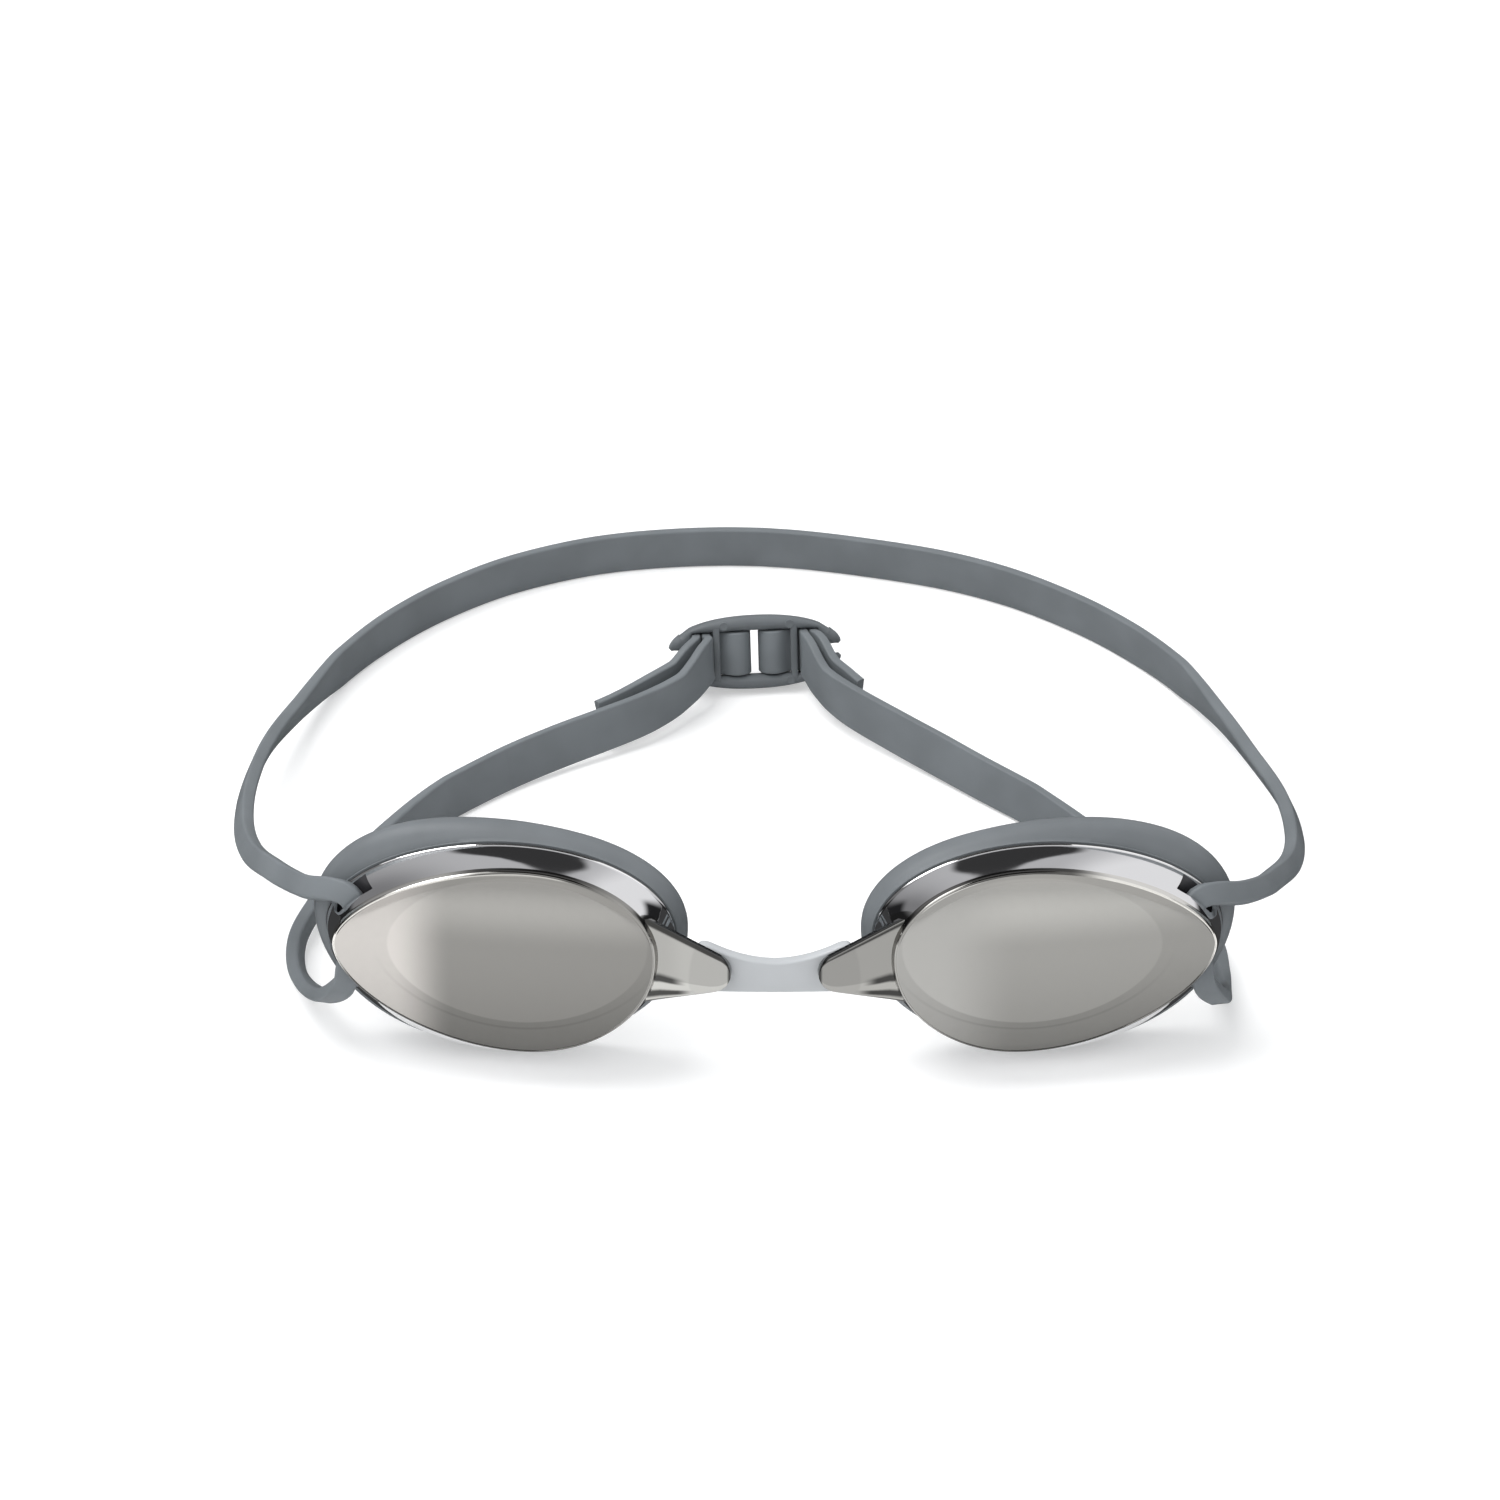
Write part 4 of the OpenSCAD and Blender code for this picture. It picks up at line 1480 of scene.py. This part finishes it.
    def right_front(self) -> list[Row]:
        """Right strap from the buckle to the slot."""
        return self._rows([
            (10.2, 118.4, 7.8, 0, 0, 1, 0), (15.5, 112.2, 6.8, 0, 0.2, 1, 0),
            (25, 104.2, 5.6, 0, 0.3, 1, 0), (33, 97.4, 4.9, 0, 0.35, 1, 0),
            (41, 89.8, 4.7, 0, 0.3, 1, 0), (50, 81.4, 4.6, 0, 0.25, 1, 0),
            (59, 72, 4.5, 0, 0.1, 1, 0.3), (67.5, 62, 4.3, 0, 0, 1, 0.8),
            (75, 51.5, 4.2, 0, 0, 1, 1), (80, 43, 4.2, 0, 0, 1, 1),
            (82.2, 35.5, 4.2, 0.2, -0.1, 1, 1), (82.4, 28.5, 4, 0.4, -0.3, 1, 1),
            (81.6, 20.6, 6.4, 0.6, -0.5, 0.7, 1), (80.6, 12.4, 11.2, 0.8, -0.4, 0.4, 1)])

    def right_back(self) -> list[Row]:
        """Right strap from the slot to the back."""
        return self._rows([
            (75.9, 13.4, 32.7, 0.9, -0.2, -0.6, 1), (78.9, 14.6, 32.9, 0.6, -0.3, -0.8, 1),
            (83.8, 17.6, 30.8, 0.5, -0.4, -0.8, 1), (88.2, 23.6, 27.6, 0.5, -0.4, -0.8, 1),
            (91, 29.6, 24.8, 0.5, -0.3, -0.8, 1), (95.6, 41, 20.4, 0.5, -0.2, -0.9, 1),
            (97.6, 53.5, 17.2, 0.5, -0.1, -0.9, 1), (97.2, 71, 13.2, 0.45, 0, -1, 1),
            (93.4, 90, 9.6, 0.4, 0, -1, 1), (88.8, 108, 6.6, 0.2, 0, -1, 0.8),
            (82.5, 124.5, 4.7, 0, 0, -1, 0.15), (73.5, 137.4, 4.5, 0, 0, -1, 0),
            (61.5, 149.4, 4.5, 0, 0, -1, 0), (46, 160.2, 4.5, 0, 0, -1, 0),
            (27, 167.8, 4.5, 0, 0, -1, 0)])

    @staticmethod
    def _dense(rows: Sequence[Row], first: int, last: int) -> list[Row]:
        """Smooth rows along a part of the route, in steps of a quarter.

        Args:
            rows: The whole route.
            first: Index that the part starts with.
            last: Index that it ends with.

        Returns:
            The rows.
        """
        made = []
        for i in range(first, last):
            four = [rows[max(0, min(len(rows) - 1, i + k))] for k in (-1, 0, 1, 2)]
            for step in range(4):
                t = step / 4
                place = catmull([r[0] for r in four], t)
                made.append((place, four[1][1].lerp(four[2][1], t),
                             four[1][2] + (four[2][2] - four[1][2]) * t))
        made.append(rows[last])
        return made

    @staticmethod
    def _stations(rows: Sequence[Row]) -> list[Station]:
        """Sections of the strap.

        Args:
            rows: Its route.

        Returns:
            A section for each row, between the wide band and the narrow cord.
        """
        made = []
        for i, (place, wide, narrow) in enumerate(rows):
            along = rows[min(i + 1, len(rows) - 1)][0] - rows[max(i - 1, 0)][0]
            w = STRAP.band_width + narrow * (STRAP.cord_width - STRAP.band_width)
            t = STRAP.band_thickness + narrow * (STRAP.cord_thickness - STRAP.band_thickness)
            made.append(Station(place, wide.normalized(), along.cross(wide).normalized(),
                                w / 2, t / 2, t * STRAP.roundness))
        return made

    def build(self) -> list[bpy.types.Object]:
        """Makes the four lengths of the strap.

        Returns:
            The pieces.
        """
        left_end = self.left_tail() + self._threading(Side.LEFT)
        right_end = self.right_tail() + self._threading(Side.RIGHT)
        back = self._rows([(-2, 173.8, 4.5, 0, 0, -1, 0)])
        left = left_end + self.left_front() + self._slot(Side.LEFT) + self.left_back()
        right = right_end + self.right_front() + self._slot(Side.RIGHT) + self.right_back()
        route = left + back + right[::-1]
        left_seam = len(left_end) + self.SEAM
        middle = len(left)
        right_seam = len(route) - 1 - len(right_end) - self.SEAM
        spans = {"strap_left_end": (0, left_seam), "strap_left_side": (left_seam, middle),
                 "strap_right_side": (middle, right_seam),
                 "strap_right_end": (right_seam, len(route) - 1)}
        pieces = {}
        for name, (first, last) in spans.items():
            stations = self._stations(self._dense(route, first, last))
            pieces[name] = self.shop.maker.sweep(name, stations, self.shop.finishes.strap, 0.9)
        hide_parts("strap")
        for side in Side:
            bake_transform(pieces[f"strap_{side.label}_side"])
            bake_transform(pieces[f"strap_{side.label}_end"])
        return list(pieces.values())


@dataclass
class Buckle:
    """Oval buckle: two rounded lobes, split tips, two inner and two outer bars."""

    MARKS = ((-6.2, 1), (7.0, 1), (7.0, -1))
    MARK_RINGS = ((0.9, 0.25), (0.9, -0.02), (0.78, -0.09), (0.6, -0.05), (0.3, -0.02))
    SECTIONS = 80

    shop: Workshop

    @staticmethod
    def _half_height(x: float) -> float:
        """Height of the outer edge.

        Args:
            x: Place along the buckle.

        Returns:
            The height over the middle line.
        """
        z = BUCKLE
        share = min(abs(x) / (z.length / 2), 1.0)
        return (z.window / 2 + z.lobe) * (1 - share**z.bulge) ** (1 / z.bulge)

    @staticmethod
    def _opening(x: float) -> float:
        """Height of the window, which narrows to the split between the tips.

        Args:
            x: Place along the buckle.

        Returns:
            The height over the middle line.
        """
        z = BUCKLE
        share = min(max((abs(x) - z.window_end + 0.3) / z.window_taper, 0.0), 1.0)
        share = share * share * (3 - 2 * share)
        return z.window / 2 + (z.tip_gap / 2 - z.window / 2) * share

    def _join(self, name: str, parts: Sequence[bpy.types.Object]) -> bpy.types.Object:
        """Makes one piece of several.

        Args:
            name: Name of the piece.
            parts: What goes into it, and is then removed.

        Returns:
            The piece.
        """
        bm = bmesh.new()
        for part in parts:
            bm.from_mesh(part.data)
        mesh = bpy.data.meshes.new(name)
        bm.to_mesh(mesh)
        bm.free()
        mesh.materials.append(self.shop.finishes.buckle)
        for part in parts:
            bpy.data.objects.remove(part)
        self.shop.maker.smooth(mesh, 50)
        return self.shop.maker.link(name, mesh)

    def _toward(self, x: float, y: float, z: float) -> Vector:
        """A direction of the buckle's own frame, in the row frame."""
        return self.shop.places.buckle(x, y, z) - self.shop.places.buckle(0, 0, 0)

    def _lobe(self, sign: int) -> bpy.types.Object:
        """Makes one lobe.

        Args:
            sign: 1 for the upper lobe, -1 for the lower.

        Returns:
            The part.
        """
        p = self.shop.places
        up, back = self._toward(0, 0, 1), self._toward(0, 1, 0)
        end = BUCKLE.length / 2 - BUCKLE.end_inset
        stations = []
        for i in range(self.SECTIONS + 1):
            x = -end * math.cos(math.pi * i / self.SECTIONS)
            high, low = self._half_height(x), self._opening(x)
            half = max((high - low) / 2, 0.25)
            share = abs(x) / end
            thick = BUCKLE.thickness / 2 * (1 - BUCKLE.thinning * share**4)
            thick = max(thick * (1 - max(share - 0.93, 0) * 8), 0.3)
            corner = min(half, thick) * 0.92
            stations.append(Station(p.buckle(x, 0, sign * (high + low) / 2), up, back,
                                    half, thick, corner))
        return self.shop.maker.sweep("lobe", stations, self.shop.finishes.buckle, 0.35, 32)

    def _bar(self, x: float, y: float, half: float, corner: float) -> bpy.types.Object:
        """Makes a bar from lobe to lobe.

        Args:
            x: Place along the buckle.
            y: Place backwards.
            half: Half of its thickness.
            corner: Radius of its corners.

        Returns:
            The part.
        """
        across, back = self._toward(1, 0, 0), self._toward(0, 1, 0)
        reach = BUCKLE.window / 2 + BUCKLE.bar_reach
        stations = [Station(self.shop.places.buckle(x, y, z * reach), across, back, half, half,
                            corner)
                    for z in (-1, -0.5, 0, 0.5, 1)]
        return self.shop.maker.sweep("bar", stations, self.shop.finishes.buckle, 0.8)

    def _mark(self, x: float, sign: int) -> bpy.types.Object:
        """Makes a small round moulding mark.

        Args:
            x: Place along the buckle.
            sign: 1 for the upper lobe, -1 for the lower.

        Returns:
            The part.
        """
        p = self.shop.places
        high, low = self._half_height(x), self._opening(x)
        z = sign * (high + low) / 2
        y = -BUCKLE.thickness / 2
        rings = []
        for r, depth in self.MARK_RINGS:
            spots = (turned(r, 0, a) for a in range(0, 360, 15))
            rings.append([p.buckle(x + across, y + depth, z + up) for across, up in spots])
        return self.shop.maker.rings("mark", rings, [self.shop.finishes.buckle], sharp=60)

    def build(self) -> bpy.types.Object:
        """Makes the buckle.

        Returns:
            The piece, riding with the buckle.
        """
        z = BUCKLE
        parts = [self._lobe(1), self._lobe(-1)]
        for k in (-1, 1):
            parts.append(self._bar(k * z.bar_gap / 2, z.bar_behind, z.bar / 2, z.bar / 2 * 0.98))
            parts.append(self._bar(k * z.outer_x, -z.thickness / 2 + z.outer_bar / 2,
                                   z.outer_bar / 2, 0.3))
        parts += [self._mark(x, sign) for x, sign in self.MARKS]
        piece = self._join("buckle_body", parts)
        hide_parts("buckle")
        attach(piece, "buckle")
        return piece


# ---------------------------------------------------------------- studio


@dataclass(frozen=True)
class Lamp:
    """A soft area light: middle, aim and size in metres, and power in watts."""

    name: str
    middle: Point3
    aim: Point3
    size: Point2
    power: float


@dataclass
class Studio:
    """Pale floor, soft light, the camera, and the walls that only mirrors see."""

    FLOOR_REACH = 4.0
    FLOOR_UNDER = -0.05 * MM
    LAMPS = (Lamp("key", (-0.55, 0.1, 1.35), (0, 0, 0), (1.3, 1.1), 19.0),
             Lamp("front_fill", (-0.6, -1.4, 1.5), (0, 0, 0), (1.2, 1.2), 5.0))
    SIDE_WALLS = (("left_wall", -1.7, 0.16), ("right_wall", 1.9, 0.6))
    BACKDROP_LEFT = Tone(0.20, 0.20, 0.205)
    BACKDROP_MIDDLE = Tone(0.46, 0.46, 0.47)
    BACKDROP_RIGHT = Tone(0.78, 0.78, 0.79)
    BACKDROP_SIDES = Tone(0.015, 0.015, 0.016)
    WINDOW_DARK = Tone(0.035, 0.035, 0.036)
    GROUND_DARK = Tone(0.045, 0.045, 0.046)
    WORLD_GREY = Tone(0.66, 0.67, 0.68)

    maker: Maker
    aim: Vector = field(default_factory=lambda: Vector((-0.0044, 0.02039, 0.0)))
    elevation: float = 35.0
    distance: float = 0.990
    focal: float = 120.0
    sensor: float = 36.0

    def build(self) -> None:
        """Makes floor, lights, background and camera."""
        self._floor()
        self._background()
        for lamp in self.LAMPS:
            self._light(lamp)
        self._dark_card()
        self._backdrop()
        self._side_walls()
        self._ground_card()
        self._camera()

    def _sheet(self, name: str, corners: Sequence[Point3],
               material: bpy.types.Material) -> bpy.types.Object:
        """A flat staged sheet.

        Args:
            name: Its name.
            corners: Its four corners in metres.
            material: Its material.

        Returns:
            The sheet.
        """
        mesh = bpy.data.meshes.new(name)
        mesh.from_pydata(corners, [], [(0, 1, 2, 3)])
        mesh.materials.append(material)
        sheet = self.maker.link(name, mesh)
        return sheet

    def _mirror_wall(self, name: str, corners: Sequence[Point3],
                     material: bpy.types.Material) -> None:
        """A flat wall that shows only in reflections.

        Args:
            name: Its name.
            corners: Its four corners in metres.
            material: Its material.
        """
        wall = self._sheet(name, corners, material)
        for ray in ("camera", "diffuse", "shadow", "transmission"):
            setattr(wall, "visible_" + ray, False)

    def _floor(self) -> None:
        """Makes the floor, which the camera and reflections see with a plain white share."""
        material, g, shader = new_material("floor_white")
        seen = g.background_rays()
        connect(g, shader, {"Base Color": seen.mix(grey(0.93), grey(0.72)),
                            "Roughness": 0.85, "Specular IOR Level": 0.0,
                            "Emission Color": seen.mix(grey(0), grey(0.36)),
                            "Emission Strength": 1.0})
        r, z = self.FLOOR_REACH, self.FLOOR_UNDER
        self._sheet("floor", [(-r, -r, z), (r, -r, z), (r, r, z), (-r, r, z)], material)

    def _dark_card(self) -> None:
        """Makes the dark card overhead that shows only as the dark line in the bevels."""
        x, y, z = 0.34, 0.55, 1.0
        material, g, shader = new_material("card_black")
        connect(g, shader, {"Base Color": grey(0.02), "Roughness": 0.9})
        self._mirror_wall("dark_card", [(-x, -y, z), (x, -y, z), (x, y, z), (-x, y, z)], material)

    def _backdrop(self) -> None:
        """Makes the wall behind the goggles, with a dark soft window."""
        x, y, z = 2.8, 1.2, 1.7
        window_x, window_z = -0.03, 0.62
        material, g, shader = new_material("backdrop_glow")
        place = g.axes()
        across, up = place[0], place[2]
        colour = across.step(-1.5, -0.4).mix(self.BACKDROP_LEFT.rgba(), self.BACKDROP_MIDDLE.rgba())
        colour = across.step(0.30, 0.75).mix(colour, self.BACKDROP_RIGHT.rgba())
        sides = abs(across).step(1.15, 1.45) * (1 - up.step(0.40, 0.62))
        colour = sides.mix(colour, self.BACKDROP_SIDES.rgba())
        dx, dz = across - window_x, up - window_z
        spread = (dx * dx / 0.16 + dz * dz / 0.026).root()
        colour = (1 - spread.step(0.84, 1.08)).mix(colour, self.WINDOW_DARK.rgba())
        glow(g, shader, colour)
        self._mirror_wall("backdrop", [(-x, y, 0), (x, y, 0), (x, y, z), (-x, y, z)], material)

    def _side_walls(self) -> None:
        """Makes the left and right wall, dark low down."""
        y, z = 1.15, 1.5
        for name, x, light in self.SIDE_WALLS:
            material, g, shader = new_material(name + "_glow")
            up = g.axes()[2]
            glow(g, shader, up.step(0.45, 0.75).mix(grey(0.012), grey(light)))
            self._mirror_wall(name, [(x, -y, 0), (x, y, 0), (x, y, z), (x, -y, z)], material)

    def _ground_card(self) -> None:
        """Makes the dark card on the ground that darkens the low part of the reflections."""
        x, front, back, z = 1.7, -0.07, 1.15, 0.2 * MM
        material, g, shader = new_material("ground_dark")
        glow(g, shader, self.GROUND_DARK.rgba())
        self._mirror_wall("ground_card", [(-x, front, z), (x, front, z), (x, back, z),
                                          (-x, back, z)], material)

    def _background(self) -> None:
        """Makes the world: soft grey light, seen as plain white."""
        world = bpy.data.worlds.new("studio")
        bpy.context.scene.world = world
        world.use_nodes = True
        g = Graph(world.node_tree)
        surface = next(n for n in world.node_tree.nodes if n.type == "BACKGROUND")
        connect(g, surface, {"Color": g.background_rays().mix(self.WORLD_GREY.rgba(), grey(1)),
                             "Strength": 1.0})

    @staticmethod
    def _light(lamp: Lamp) -> None:
        """Makes one lamp, turned to its aim.

        Args:
            lamp: What it is like.
        """
        data = bpy.data.lights.new(lamp.name, "AREA")
        data.shape = "RECTANGLE"
        data.size, data.size_y = lamp.size
        data.energy = lamp.power
        made = bpy.data.objects.new(lamp.name, data)
        bpy.context.scene.collection.objects.link(made)
        made.location = lamp.middle
        look = Vector(lamp.aim) - Vector(lamp.middle)
        made.rotation_euler = look.to_track_quat("-Z", "Y").to_euler()

    def _camera(self) -> None:
        """Makes the camera, raised over the front of the goggles."""
        data = bpy.data.cameras.new("camera")
        data.lens = self.focal
        data.sensor_width = self.sensor
        camera = bpy.data.objects.new("camera", data)
        scene = bpy.context.scene
        scene.collection.objects.link(camera)
        e = math.radians(self.elevation)
        camera.location = self.aim + Vector((0, -math.cos(e), math.sin(e))) * self.distance
        camera.rotation_euler = (math.pi / 2 - e, 0, 0)
        scene.camera = camera
        scene.view_settings.view_transform = "Standard"


def report(*pieces: bpy.types.Object) -> None:
    """Logs each piece with its number of faces."""
    for piece in pieces:
        LOG.info("built %s, %d faces", piece.name, len(piece.data.polygons))


def main() -> None:
    """Builds every piece in order and logs it."""
    logging.basicConfig(level=logging.INFO)
    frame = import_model()
    shop = Workshop(Places.from_frame(frame), Maker(), Finishes.build())
    for side in Side:
        report(*Eyecup(shop, side).build())
    report(NoseBridge(shop).build())
    report(*Strap(shop).build())
    report(Buckle(shop).build())
    Studio(shop.maker).build()


if __name__ == "__main__":
    main()
